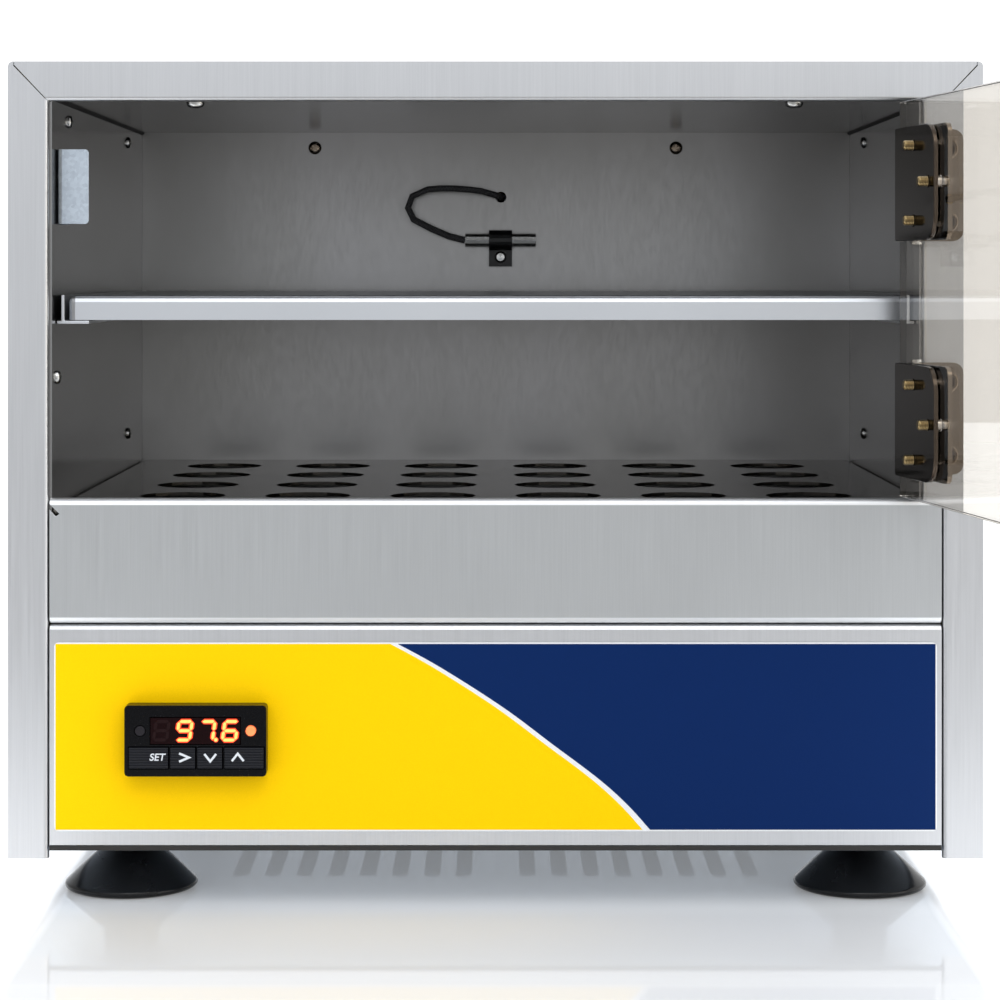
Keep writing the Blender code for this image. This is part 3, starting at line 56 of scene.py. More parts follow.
def at(x, y, z):  # millimetres from the middle of the case's front, up from the table
    return Vector((caseMiddle + x * mm, frontFace + y * mm, z * mm))


def linearColour(hexText, alpha=1.0):  # sRGB hex to the linear values a socket takes
    parts = [int(hexText[i:i + 2], 16) / 255 for i in (1, 3, 5)]
    return [p / 12.92 if p <= 0.04045 else ((p + 0.055) / 1.055) ** 2.4 for p in parts] + [alpha]


def feed(tree, node, links):  # each input takes a socket, or the first output of a node
    for socket, source in links.items():
        tree.links.new(getattr(source, "outputs", [source])[0], node.inputs[socket])


def addNode(tree, kind, values=None, links=None, stops=(), **settings):
    node = tree.nodes.new(kind)
    for name, value in settings.items():
        setattr(node, name, value)
    for socket, value in (values or {}).items():
        node.inputs[socket].default_value = value
    if stops:  # a colour ramp's positions and linear colours
        elements = node.color_ramp.elements
        while len(elements) < len(stops):
            elements.new(0.5)
        for element, (position, colour) in zip(elements, stops):
            element.position = position
            element.color = colour
    feed(tree, node, links or {})
    return node


def limits(low, high, fromLow=0.0, fromHigh=1.0):  # the values that move a number to another range
    return {"From Min": fromLow, "From Max": fromHigh, "To Min": low, "To Max": high}


def startMaterial(name, **values):  # a material, its node tree, its shader and its object coordinates
    material = bpy.data.materials.new(name)
    material.use_nodes = True
    tree = material.node_tree
    shader = tree.nodes["Principled BSDF"]
    for socket, value in values.items():
        shader.inputs[socket.replace("_", " ")].default_value = value
    return material, tree, shader, addNode(tree, "ShaderNodeTexCoord").outputs["Object"]


view = {"lens": 97.85, "sensor": 36, "shiftX": 0.003, "shiftY": -0.227, "away": 925, "height": 216, "side": 0.5}


def makeCamera():
    data = bpy.data.cameras.new("camera")
    data.lens = view["lens"]
    data.sensor_width = view["sensor"]
    data.shift_x, data.shift_y = view["shiftX"], view["shiftY"]
    data.clip_start = 0.05
    camera = bpy.data.objects.new("camera", data)
    camera.location = at(view["side"], -view["away"], view["height"])
    camera.rotation_euler = (math.radians(90), 0, 0)
    bpy.context.scene.collection.objects.link(camera)
    bpy.context.scene.camera = camera


def addLight(name, place, target, width, height, power, colour):
    data = bpy.data.lights.new(name, "AREA")
    data.shape = "RECTANGLE"
    data.size, data.size_y = width, height
    data.energy = power
    data.color = linearColour(colour)[:3]
    light = bpy.data.objects.new(name, data)
    light.location = Vector(place)
    light.rotation_euler = (Vector(target) - Vector(place)).to_track_quat("-Z", "Y").to_euler()
    bpy.context.scene.collection.objects.link(light)


studio = {"low": 0.5, "front": 0.96, "high": 1.5, "leftSide": 0.6, "rightSide": 1.1, "behindGlass": 1.2,
          "key": 9.0, "leftFill": 1.0, "rightFill": 3.5, "table": "#E2E4E6", "tableRough": 0.05, "tableHalf": 150,
          "tableGlow": 0.07, "underGlow": 0.08, "tableFront": -0.26}


def makeStudio():
    world = bpy.data.worlds.new("studio")
    bpy.context.scene.world = world
    world.use_nodes = True
    tree = world.node_tree
    back = tree.nodes["Background"]
    coords = addNode(tree, "ShaderNodeTexCoord")
    parts = addNode(tree, "ShaderNodeSeparateXYZ", links={"Vector": coords.outputs["Generated"]})
    rise = addNode(tree, "ShaderNodeMapRange", limits(0.0, 1.0, -1.0, 1.0), {"Value": parts.outputs["Z"]})
    low, front, high = [[studio[k] * c for c in tint] + [1.0] for k, tint in
                        (("low", (1, 0.99, 0.98)), ("front", (0.97, 1, 1.04)), ("high", (0.97, 1, 1.06)))]
    around = addNode(tree, "ShaderNodeValToRGB", links={"Fac": rise},
                     stops=[(0.44, low), (0.5, front), (0.6, front), (0.8, high)])
    for start, end, key in ((-0.42, -0.75, "leftSide"), (0.0, 0.7, "rightSide")):
        sideways = addNode(tree, "ShaderNodeMapRange", {"From Min": start, "From Max": end},
                           {"Value": parts.outputs["X"]}, interpolation_type="SMOOTHSTEP").outputs["Result"]
        bright = [studio[key]] * 3 + [1.0]
        around = addNode(tree, "ShaderNodeMix", {"B": bright}, {"Factor": sideways, "A": around},
                         data_type="RGBA").outputs["Result"]
    sight = addNode(tree, "ShaderNodeLightPath")
    seen = addNode(tree, "ShaderNodeMath", operation="MAXIMUM", links={
        0: sight.outputs["Is Camera Ray"], 1: sight.outputs["Is Transmission Ray"]}).outputs[0]
    white = [studio["behindGlass"]] * 3 + [1.0]
    mix = addNode(tree, "ShaderNodeMix", {"B": white}, {"Factor": seen, "A": around}, data_type="RGBA")
    tree.links.new(mix.outputs["Result"], back.inputs["Color"])
    back.inputs["Strength"].default_value = 1.0
    addLight("keyLight", (caseMiddle + 0.35, frontFace - 1.2, 1.6), (caseMiddle, frontFace, 0.15),
             1.6, 0.9, studio["key"], "#FFFDF8")
    addLight("leftLight", (caseMiddle - 1.4, frontFace - 0.5, 0.6), (caseMiddle, frontFace, 0.15),
             0.8, 1.2, studio["leftFill"], "#F2F5FF")
    addLight("rightLight", (caseMiddle + 1.4, frontFace - 0.6, 0.5), (caseMiddle, frontFace, 0.15),
             0.8, 1.2, studio["rightFill"], "#FFFDF5")


def makeFloor():
    bm = bmesh.new()
    near, far, half = studio["tableFront"], 3.0, 2.5
    corners = [bm.verts.new((x, y, 0)) for x, y in ((-half, near), (half, near), (half, far), (-half, far))]
    bm.faces.new(corners)
    mesh = bpy.data.meshes.new("floor")
    bm.to_mesh(mesh)
    bm.free()
    floor = bpy.data.objects.new("floor", mesh)
    floor.location = (caseMiddle, frontFace, -0.0002)
    bpy.context.scene.collection.objects.link(floor)
    material, tree, shader, points = startMaterial("white glazed table", Roughness=studio["tableRough"])
    shader.inputs["Base Color"].default_value = linearColour(studio["table"])
    parts = addNode(tree, "ShaderNodeSeparateXYZ", links={"Vector": points})
    across = addNode(tree, "ShaderNodeMath", links={0: parts.outputs["X"]}, operation="ABSOLUTE")
    half, depth = studio["tableHalf"] * mm, parts.outputs["Y"]
    beyond = addNode(tree, "ShaderNodeMapRange", limits(0.0, 1.0, half - 0.004, half + 0.006), {"Value": across})
    behind = addNode(tree, "ShaderNodeMapRange", limits(0.0, 1.0, 0.28, 0.6), {"Value": depth})
    glow = addNode(tree, "ShaderNodeMath", links={0: beyond, 1: behind}, operation="MAXIMUM")
    rear = addNode(tree, "ShaderNodeMapRange", limits(0.0, 1.0, -0.012, 0.02), {"Value": depth})
    glowLow = studio["tableGlow"]
    under = addNode(tree, "ShaderNodeMapRange", limits(glowLow, glowLow + studio["underGlow"]), {"Value": rear})
    openTable = addNode(tree, "ShaderNodeMapRange", limits(0.0, 0.6), {"Value": glow})
    strength = addNode(tree, "ShaderNodeMath", links={0: under, 1: openTable}, operation="MAXIMUM")
    shine = addNode(tree, "ShaderNodeMapRange", limits(0.05, 0.5, -0.1, -0.084), {"Value": depth})
    shader.inputs["Emission Color"].default_value = (1, 1, 1, 1)
    feed(tree, shader, {"Emission Strength": strength, "Specular IOR Level": shine})
    mesh.materials.append(material)


makeCamera()
makeStudio()
makeFloor()
bpy.context.scene.view_settings.view_transform = "Standard"
print("camera, lights and floor are set")


steel = {"colour": "#CDCED0", "dark": "#C9CACC", "light": "#D1D2D4", "rough": 0.36, "depth": 0.25,
         "grain": 0.12, "stroke": 9.0}  # grain width and stroke length in millimetres


def brushedSteel(name, colour, dark, light, rough, folds=()):
    # 4-grade brushed stainless: fine parallel scratches give a soft, drawn-out highlight
    material, tree, shader, points = startMaterial(name, Metallic=1.0)
    across, along = 1000 / (steel["grain"] * 4), 1000 / (steel["stroke"] * 4)
    drawn = addNode(tree, "ShaderNodeMapping", {"Scale": (across, across, along)}, {"Vector": points})
    scratches = addNode(tree, "ShaderNodeTexNoise", {"Scale": 1.0, "Detail": 3.0, "Roughness": 0.6}, {"Vector": drawn})
    wide = addNode(tree, "ShaderNodeMapping", {"Scale": (2.0, 2.0, 0.6)}, {"Vector": points})
    broad = addNode(tree, "ShaderNodeTexNoise", {"Scale": 14.0, "Detail": 2.0}, {"Vector": wide})
    faint = addNode(tree, "ShaderNodeMath", {1: 0.35}, {0: broad}, operation="MULTIPLY")
    total = addNode(tree, "ShaderNodeMath", links={0: scratches, 1: faint}, operation="ADD")
    shade = addNode(tree, "ShaderNodeMapRange", limits(0.0, 1.0, 0.42, 0.92), {"Value": total})
    tint = addNode(tree, "ShaderNodeValToRGB", links={"Fac": shade},
                   stops=[(0.0, linearColour(dark)), (0.5, linearColour(colour)), (1.0, linearColour(light))])
    height = addNode(tree, "ShaderNodeSeparateXYZ", links={"Vector": points}).outputs["Z"]
    for inner, outer, bright in folds:  # painted highlight: the bends are painted paler, where their rounded folds catch the light
        onFold = addNode(tree, "ShaderNodeMapRange", limits(0.0, 1.0, inner, outer), {"Value": height})
        tint = addNode(tree, "ShaderNodeMix", {"B": linearColour(bright)}, {"Factor": onFold, "A": tint},
                       data_type="RGBA").outputs["Result"]
    gloss = addNode(tree, "ShaderNodeMapRange", limits(rough - 0.03, rough + 0.04, 0.3, 0.7), {"Value": scratches})
    bump = addNode(tree, "ShaderNodeBump", {"Strength": steel["depth"], "Distance": 0.00002}, {"Height": scratches})
    feed(tree, shader, {"Base Color": tint, "Roughness": gloss, "Normal": bump})
    return material


def rolledSteel(name, colour, dark, light, rough, size=70.0):
    # cold-rolled stainless with a dull mill finish: cloudy patches a few centimetres across
    material, tree, shader, points = startMaterial(name, Metallic=1.0)
    drawn = addNode(tree, "ShaderNodeMapping", {"Scale": (1.0, 1.0, 0.55)}, {"Vector": points})
    clouds = addNode(tree, "ShaderNodeTexNoise", {"Scale": 1000 / size, "Detail": 4.0, "Roughness": 0.55},
                     {"Vector": drawn})
    rolled = addNode(tree, "ShaderNodeMapping", {"Scale": (1.0, 1.0, 0.25)}, {"Vector": points})
    fine = addNode(tree, "ShaderNodeTexNoise", {"Scale": 900.0, "Detail": 2.0}, {"Vector": rolled})
    shade = addNode(tree, "ShaderNodeMapRange", limits(0.0, 1.0, 0.3, 0.7), {"Value": clouds})
    tint = addNode(tree, "ShaderNodeValToRGB", links={"Fac": shade},
                   stops=[(0.0, linearColour(dark)), (0.5, linearColour(colour)), (1.0, linearColour(light))])
    gloss = addNode(tree, "ShaderNodeMapRange", limits(rough - 0.02, rough + 0.02, 0.3, 0.7), {"Value": fine})
    feed(tree, shader, {"Base Color": tint, "Roughness": gloss})
    return material


def galvanisedSheet(name):
    # hot-dip zinc on steel: crystal patches of slightly different grey
    material, tree, shader, points = startMaterial(name, Metallic=1.0)
    cells = addNode(tree, "ShaderNodeTexVoronoi", {"Scale": 900.0, "Randomness": 1.0}, {"Vector": points}, feature="F1")
    shade = addNode(tree, "ShaderNodeSeparateColor", links={"Color": cells.outputs["Color"]}).outputs["Red"]
    soft = addNode(tree, "ShaderNodeTexNoise", {"Scale": 260.0, "Detail": 3.0}, {"Vector": points})
    tint = addNode(tree, "ShaderNodeValToRGB", links={"Fac": shade},
                   stops=[(0.0, linearColour("#B9C3CE")), (1.0, linearColour("#C9D3DD"))])
    gloss = addNode(tree, "ShaderNodeMapRange", limits(0.34, 0.52, 0.3, 0.7), {"Value": soft})
    bump = addNode(tree, "ShaderNodeBump", {"Strength": 0.2, "Distance": 0.00004}, {"Height": soft})
    feed(tree, shader, {"Base Color": tint, "Roughness": gloss, "Normal": bump})
    return material


def mouldedPlastic(name, colour, rough, depth=0.15, sheen=0.5):
    # injection-moulded plastic: a fine spark-eroded grain from the mould wall
    material, tree, shader, points = startMaterial(name, IOR=1.5, Specular_IOR_Level=sheen)
    grit = 0.35  # grain width in millimetres
    grain = addNode(tree, "ShaderNodeTexNoise", {"Scale": 1000 / grit, "Detail": 2.0}, {"Vector": points})
    base = linearColour(colour)
    darker = [v * 0.82 for v in base[:3]] + [1.0]
    lighter = [min(1.0, v * 1.12) for v in base[:3]] + [1.0]
    tint = addNode(tree, "ShaderNodeValToRGB", links={"Fac": grain}, stops=[(0.3, darker), (0.7, lighter)])
    gloss = addNode(tree, "ShaderNodeMapRange", limits(rough - 0.04, rough + 0.06, 0.3, 0.7), {"Value": grain})
    bump = addNode(tree, "ShaderNodeBump", {"Strength": depth, "Distance": 0.00003}, {"Height": grain})
    feed(tree, shader, {"Base Color": tint, "Roughness": gloss, "Normal": bump})
    return material


def platedMetal(name, colour, rough):
    # electroplated metal: nearly even, with faint cloudy handling marks
    material, tree, shader, points = startMaterial(name, Metallic=1.0)
    speck = 4.8  # width of a mark in millimetres
    marks = addNode(tree, "ShaderNodeTexNoise", {"Scale": 1000 / speck, "Detail": 3.0}, {"Vector": points})
    base = linearColour(colour)
    darker = [v * 0.96 for v in base[:3]] + [1.0]
    tint = addNode(tree, "ShaderNodeValToRGB", links={"Fac": marks}, stops=[(0.3, darker), (0.65, base)])
    gloss = addNode(tree, "ShaderNodeMapRange", limits(rough - 0.02, rough + 0.03, 0.3, 0.7), {"Value": marks})
    feed(tree, shader, {"Base Color": tint, "Roughness": gloss})
    return material


def clearAcrylic():
    # cast acrylic sheet with a faint warm smoke tint and polished faces
    material, tree, shader, points = startMaterial("cast acrylic", Transmission_Weight=1.0, IOR=1.49)
    smoke = addNode(tree, "ShaderNodeTexNoise", {"Scale": 6.0, "Detail": 1.0}, {"Vector": points})
    tint = addNode(tree, "ShaderNodeValToRGB", links={"Fac": smoke},
                   stops=[(0.3, linearColour("#EFEAE2")), (0.7, linearColour("#F2EDE5"))])
    drawn = addNode(tree, "ShaderNodeMapping", {"Scale": (1, 1, 0.3)}, {"Vector": points})
    wipe = addNode(tree, "ShaderNodeTexNoise", {"Scale": 60.0, "Detail": 3.0}, {"Vector": drawn})
    gloss = addNode(tree, "ShaderNodeMapRange", limits(0.0, 0.02, 0.4, 0.7), {"Value": wipe})
    feed(tree, shader, {"Base Color": tint, "Roughness": gloss})
    return material


def mineralWool():
    # bonded glass wool: matt yellow fibre mat
    material, tree, shader, points = startMaterial("mineral wool", Roughness=0.95)
    drawn = addNode(tree, "ShaderNodeMapping", {"Scale": (1.0, 0.35, 1.0)}, {"Vector": points})
    fibres = addNode(tree, "ShaderNodeTexNoise", {"Scale": 420.0, "Detail": 5.0, "Distortion": 2.5}, {"Vector": drawn})
    tint = addNode(tree, "ShaderNodeValToRGB", links={"Fac": fibres},
                   stops=[(0.3, linearColour("#A98B3A")), (0.7, linearColour("#E2C878"))])
    bump = addNode(tree, "ShaderNodeBump", {"Strength": 0.7, "Distance": 0.0008}, {"Height": fibres})
    feed(tree, shader, {"Base Color": tint, "Normal": bump})
    return material


def mouldedRubber():
    # moulded neoprene foot: glossy skin with faint flow marks
    material, tree, shader, points = startMaterial("moulded neoprene", IOR=1.52, Specular_IOR_Level=0.25)
    flow = addNode(tree, "ShaderNodeTexNoise", {"Scale": 90.0, "Detail": 4.0, "Distortion": 0.6}, {"Vector": points})
    tint = addNode(tree, "ShaderNodeValToRGB", links={"Fac": flow},
                   stops=[(0.3, linearColour("#040405")), (0.75, linearColour("#0E0E10"))])
    gloss = addNode(tree, "ShaderNodeMapRange", limits(0.12, 0.3, 0.3, 0.7), {"Value": flow})
    bump = addNode(tree, "ShaderNodeBump", {"Strength": 0.25, "Distance": 0.0003}, {"Height": flow})
    feed(tree, shader, {"Base Color": tint, "Roughness": gloss, "Normal": bump})
    return material


def braidedSleeve():
    # woven glass-fibre sleeve on the lead
    material, tree, shader, points = startMaterial("braided sleeve", Roughness=0.7)
    weave = addNode(tree, "ShaderNodeTexChecker", {"Scale": 1500.0}, {"Vector": points}).outputs["Fac"]
    tint = addNode(tree, "ShaderNodeValToRGB", links={"Fac": weave},
                   stops=[(0.0, linearColour("#3B3B3D")), (1.0, linearColour("#5A5A5C"))])
    bump = addNode(tree, "ShaderNodeBump", {"Strength": 0.4, "Distance": 0.0001}, {"Height": weave})
    feed(tree, shader, {"Base Color": tint, "Normal": bump})
    return material


def litPlastic(name, colour, glow, strength):
    # translucent diffuser lit from behind
    material, tree, shader, points = startMaterial(name, Roughness=0.35, Emission_Strength=strength)
    cloud = addNode(tree, "ShaderNodeTexNoise", {"Scale": 900.0, "Detail": 1.0}, {"Vector": points})
    tint = addNode(tree, "ShaderNodeValToRGB", links={"Fac": cloud},
                   stops=[(0.3, linearColour(colour)), (0.7, linearColour(glow))])
    feed(tree, shader, {"Base Color": tint})
    shader.inputs["Emission Color"].default_value = linearColour(glow)
    return material


def printedFilm(name, colour, rough=0.38, sheen=0.5):
    # screen-printed polyester film: even ink with a fine satin texture
    material, tree, shader, points = startMaterial(name, IOR=1.5, Specular_IOR_Level=sheen)
    grain = addNode(tree, "ShaderNodeTexNoise", {"Scale": 2500.0, "Detail": 1.0}, {"Vector": points})
    base = linearColour(colour)
    darker = [v * 0.95 for v in base[:3]] + [1.0]
    tint = addNode(tree, "ShaderNodeValToRGB", links={"Fac": grain}, stops=[(0.3, darker), (0.7, base)])
    gloss = addNode(tree, "ShaderNodeMapRange", limits(rough - 0.03, rough + 0.05, 0.3, 0.7), {"Value": grain})
    bump = addNode(tree, "ShaderNodeBump", {"Strength": 0.06, "Distance": 0.00002}, {"Height": grain})
    feed(tree, shader, {"Base Color": tint, "Roughness": gloss, "Normal": bump})
    return material


fasciaLow, fasciaHigh = [corner.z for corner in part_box("upper_fascia")]
# painted highlights on the fascia's top and bottom folds, paler where the rounded bends catch the light
paintedFoldHighlights = [(fasciaHigh - 2.5 * mm, fasciaHigh - 2.1 * mm, "#F8F9FA"),
             (fasciaLow + 2.3 * mm, fasciaLow + 1.9 * mm, "#E2E4E6")]
finish = {
    "brushedSteel": brushedSteel("brushed stainless", steel["colour"], steel["dark"], steel["light"], steel["rough"]),
    "fasciaSteel": brushedSteel("brushed stainless, duller", "#BBBDBE", "#B7B9BA", "#BFC1C2", 0.42, folds=paintedFoldHighlights),
    # painted shade: the chamber walls, back and floor take this stainless darker than the shelf does, for the shade
    # inside the case
    "chamberSteel": rolledSteel("mill-finish stainless", "#939291", "#8D8C8A", "#989797", 0.18),
    "backSteel": rolledSteel("mill-finish stainless, back", "#939291", "#8D8C8A", "#989797", 0.3),
    "floorSteel": rolledSteel("mill-finish stainless, floor", "#827D76", "#7C7770", "#88837C", 0.2),
    "shelfSteel": rolledSteel("mill-finish stainless, shelf", "#D3D6DA", "#D0D3D7", "#D6D9DC", 0.3),
    "galvanised": galvanisedSheet("galvanised sheet"),
    "filmWhite": printedFilm("white polyester film", "#E8EAEC"),
    "wool": mineralWool(),
    "sheath": platedMetal("annealed nickel alloy", "#7B7266", 0.42),
    "blackPlastic": mouldedPlastic("black ABS, glossy", "#07070A", 0.25, sheen=0.12),
    "greyPlastic": mouldedPlastic("grey nylon", "#8F9296", 0.45),
    "keyPlastic": mouldedPlastic("black ABS, satin", "#0C0E16", 0.38, sheen=0.22),
    "window": mouldedPlastic("dark red polycarbonate", "#160406", 0.12, depth=0.03, sheen=0.12),
    "redLight": litPlastic("lit red diffuser", "#FF6A38", "#FF7A48", 1.1),
    "greyLight": mouldedPlastic("unlit diffuser", "#242226", 0.3, sheen=0.15),
    "rubber": mouldedRubber(),
    "sleeve": braidedSleeve(),
    "brightSteel": platedMetal("bright zinc plate", "#C8C8C6", 0.22),
    "darkNickel": platedMetal("dark nickel plate", "#877B6E", 0.2),
    # painted shade: the hinge clamp plates are painted near-black for the shade they lie in; the frame hinge screws use
    # the same finish
    "clampNickel": platedMetal("nickel plate, painted dark for shade", "#4A423B", 0.1),
    "magnet": platedMetal("nickel-plated magnet", "#B4B4B6", 0.2),
    "acrylic": clearAcrylic(),
    "blackLoom": mouldedPlastic("black PVC", "#141416", 0.4),
    # painted shade: a black finish for strips that stand for shadow in gaps and dark edges
    "sealant": mouldedPlastic("black painted shade", "#211F1D", 0.6),
    "brassTail": platedMetal("yellow zinc plate", "#93805C", 0.2),
}

nodeFinish = {
    "brushedSteel": ["outer_cover", "control_panel"],
    "fasciaSteel": ["upper_fascia"],
    "chamberSteel": ["chamber_wrap", "divider_plate"],
    "backSteel": ["chamber_back"],
    "floorSteel": ["chamber_floor"],
    "shelfSteel": ["shelf", "shelf_rail_left", "shelf_rail_right"],
    "galvanised": ["base_pan", "rear_panel", "strike_tab", "element_bracket_left", "element_bracket_right"],
    "filmWhite": ["control_label"],
    "wool": ["insulation_left", "insulation_right", "insulation_top", "insulation_back"],
    "sheath": ["heater_element"],
    "blackPlastic": ["controller_bezel", "mains_inlet", "fuse_drawer", "power_switch", "power_rocker",
                     "solid_state_relay", "door_knob"],
    "greyPlastic": ["controller_body", "mounting_collar", "terminal_block", "limit_thermostat"],
    "keyPlastic": ["set_key", "right_key", "down_key", "up_key"],
    "window": ["display_window"],
    "redLight": ["alarm_light"],
    "greyLight": ["output_light"],
    "rubber": ["foot_front_left", "foot_front_right", "foot_rear_left", "foot_rear_right"],
    "sleeve": ["sensor_lead"],
    "blackLoom": ["mains_wiring", "heater_wiring", "probe_clip"],
    "brightSteel": ["sensor_probe", "clip_screw", "knob_screw", "upper_hinge_pin", "lower_hinge_pin"],
    "darkNickel": ["upper_frame_leaf", "lower_frame_leaf", "upper_door_leaf", "lower_door_leaf",
                   "upper_clamp_plate", "lower_clamp_plate"],
    "magnet": ["door_magnet"],
    "acrylic": ["door_pane"],
}
for finishName, names in nodeFinish.items():
    for name in names:
        for slotOfNode in nodes[name].material_slots:
            slotOfNode.material = finish[finishName]
bare = [n for n in nodes if n not in [m for names in nodeFinish.values() for m in names]]
print("finishes set; without one:", bare)


def frontPlace(x, y, z):  # a drawing's right, up and out become the case's right, up and towards the front
    return Matrix.Translation(at(x, y, z)) @ Matrix(((1, 0, 0, 0), (0, 0, -1, 0), (0, 1, 0, 0), (0, 0, 0, 1)))


def finishPiece(name, bm, body, material, replaced=(), bevel=0.0, steps=2, sharp=32.0):
    mesh = bpy.data.meshes.new(name)
    bm.to_mesh(mesh)
    bm.free()
    return finishMesh(name, mesh, body, material, replaced, bevel, steps, sharp)


def finishMesh(name, mesh, body, material, replaced=(), bevel=0.0, steps=2, sharp=32.0):
    mesh.materials.clear()
    mesh.materials.append(material)
    mesh.polygons.foreach_set("material_index", [0] * len(mesh.polygons))
    piece = bpy.data.objects.new(name, mesh)
    bpy.context.scene.collection.objects.link(piece)
    mesh.shade_smooth()
    mesh.set_sharp_from_angle(angle=math.radians(sharp))
    if bevel:
        rounding = piece.modifiers.new("softened edges", "BEVEL")
        rounding.width = bevel * mm
        rounding.segments = steps
        rounding.limit_method = "ANGLE"
        rounding.angle_limit = math.radians(35)
    weights = piece.modifiers.new("flat faces stay flat", "WEIGHTED_NORMAL")
    weights.keep_sharp = True
    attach(piece, body)
    if replaced:
        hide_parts(*replaced)
    return piece


def cleanCopy(nodeName):  # a merged copy of a CAD node's mesh, with its flat faces whole again
    bm = bmesh.new()
    bm.from_mesh(nodes[nodeName].data)
    bmesh.ops.remove_doubles(bm, verts=bm.verts, dist=0.00001)
    bmesh.ops.dissolve_limit(bm, angle_limit=math.radians(0.5), verts=bm.verts, edges=bm.edges)
    return bm


def addPlate(bm, outline, thick, place, low=0.0):  # an outline in millimetres, given thickness
    rows = [[bm.verts.new(place @ Vector((x * mm, y * mm, level * mm))) for x, y in outline]
            for level in (low, low + thick)]
    bm.faces.new(list(reversed(rows[0])))
    bm.faces.new(rows[1])
    count = len(outline)
    for i in range(count):
        j = (i + 1) % count
        bm.faces.new((rows[0][i], rows[0][j], rows[1][j], rows[1][i]))


def addTurned(bm, profile, place, steps=48, unit=mm):  # (radius, height) pairs turned about the place's Z
    rings = []
    for radius, height in profile:
        if radius == 0:
            rings.append([bm.verts.new(place @ Vector((0, 0, height * unit)))])
        else:
            rings.append([bm.verts.new(place @ Vector((
                radius * unit * math.cos(2 * math.pi * i / steps),
                radius * unit * math.sin(2 * math.pi * i / steps), height * unit))) for i in range(steps)])
    for near, far in zip(rings, rings[1:]):
        for i in range(steps):
            j = (i + 1) % steps
            if len(near) == 1:
                bm.faces.new((near[0], far[j], far[i]))
            elif len(far) == 1:
                bm.faces.new((near[i], near[j], far[0]))
            else:
                bm.faces.new((near[i], near[j], far[j], far[i]))


def cutMesh(bm, tool):  # bm with the tool's shape taken out of it
    made = []
    for part in (bm, tool):
        bmesh.ops.recalc_face_normals(part, faces=part.faces)
        mesh = bpy.data.meshes.new("cut")
        part.to_mesh(mesh)
        part.free()
        obj = bpy.data.objects.new("cut", mesh)
        bpy.context.scene.collection.objects.link(obj)
        made.append(obj)
    cutter = made[0].modifiers.new("cut", "BOOLEAN")
    cutter.operation = "DIFFERENCE"
    cutter.solver = "EXACT"
    cutter.object = made[1]
    graph = bpy.context.evaluated_depsgraph_get()
    result = bmesh.new()
    result.from_mesh(made[0].evaluated_get(graph).to_mesh())
    for obj in made:
        bpy.data.objects.remove(obj)
    return result


def smoothLine(points, steps=8):  # a smooth curve through the points
    ends = [points[0]] + list(points) + [points[-1]]
    line = []
    for a, b, c, d in zip(ends, ends[1:], ends[2:], ends[3:]):
        for i in range(steps):
            t = i / steps
            line.append(tuple(0.5 * (2 * q + (r - p) * t + (2 * p - 5 * q + 4 * r - s) * t * t
                                     + (3 * q - p - 3 * r + s) * t ** 3) for p, q, r, s in zip(a, b, c, d)))
    return line + [tuple(points[-1])]


cover = {"innerFold": 1.5, "mitreGap": 0.22, "mitreTop": 2.2, "edge": 0.25, "openingHalf": 152.3, "openingTop": 274.6}
fascia = {"notch": [(-152.4, 137.8), (-152.4, 136.0), (-149.7, 133.1), (-148.5, 134.0)],
          "trim": [(-151.9, 19.4), (151.9, 19.4), (151.9, 20.95), (-151.9, 20.95)]}


def foldEdges(bm, test, radius, steps):
    chosen = [e for e in bm.edges if len(e.link_faces) == 2 and e.calc_face_angle_signed(0) > 0.8
              and all(test(v.co) for v in e.verts)]
    bmesh.ops.bevel(bm, geom=chosen, offset=radius * mm, offset_type="OFFSET", segments=steps, profile=0.5,
                    affect="EDGES", clamp_overlap=True)


def makeCover():
    bm = cleanCopy("outer_cover")

    def roundOpening(p):
        onFace = abs(p.y - frontFace) < 0.02 * mm
        x, z = abs(p.x - caseMiddle) / mm, p.z / mm
        return onFace and x < cover["openingHalf"] + 0.05 and z < cover["openingTop"] + 0.05
    foldEdges(bm, roundOpening, cover["innerFold"], 5)
    tool = bmesh.new()
    half, top = coverHigh.x - caseMiddle, coverHigh.z
    for side in (-1, 1):
        inner = (side * (cover["openingHalf"] - 0.6), cover["openingTop"] - 0.6)
        outer = (side * (half / mm - cover["mitreTop"]), top / mm - cover["mitreTop"] * 0.55)
        gap = cover["mitreGap"]
        outline = [(inner[0], inner[1]), (outer[0], outer[1]), (outer[0], top / mm + 1),
                   (outer[0] + side * gap * 1.6, top / mm + 1), (outer[0] + side * gap * 1.6, outer[1] - gap),
                   (inner[0] + side * gap * 0.6, inner[1] - gap)]
        if side < 0:
            outline.reverse()
        addPlate(tool, outline, 1.6, frontPlace(0, 1.25, 0))
    bm = cutMesh(bm, tool)
    finishPiece("coverShell", bm, "case", finish["brushedSteel"], ["outer_cover"],
                bevel=cover["edge"], sharp=50)


def makeFascia():
    bm = cleanCopy("upper_fascia")
    tool = bmesh.new()
    addPlate(tool, fascia["notch"], 2.6, frontPlace(0, 2.2, 0))
    bm = cutMesh(bm, tool)
    finishPiece("fasciaSheet", bm, "case", finish["fasciaSteel"], ["upper_fascia"], bevel=0.15)
    # painted shade: a black strip along the bottom edge, standing for the dark gap under the panel
    bm = bmesh.new()
    addPlate(bm, fascia["trim"], 0.3, frontPlace(0, 0.5, 0))
    bmesh.ops.recalc_face_normals(bm, faces=bm.faces)
    finishPiece("panEdgeTrim", bm, "case", finish["sealant"], bevel=0.1)


makeCover()
makeFascia()
print("cover and fascia folded")


label = {"border": 0.5, "ink": 0.05, "stripe": 2.1,
         "curve": [(-36.8, 91.0), (-20.3, 82.0), (1.2, 68.3), (18.5, 55.4), (33.8, 43.9), (44.0, 34.7), (53.0, 24.6)]}
ink = {
    "yellow": printedFilm("yellow screen ink", "#FFCE00", 0.45, 0.06),
    "navy": printedFilm("navy screen ink", "#002358", 0.45, 0.1),
}


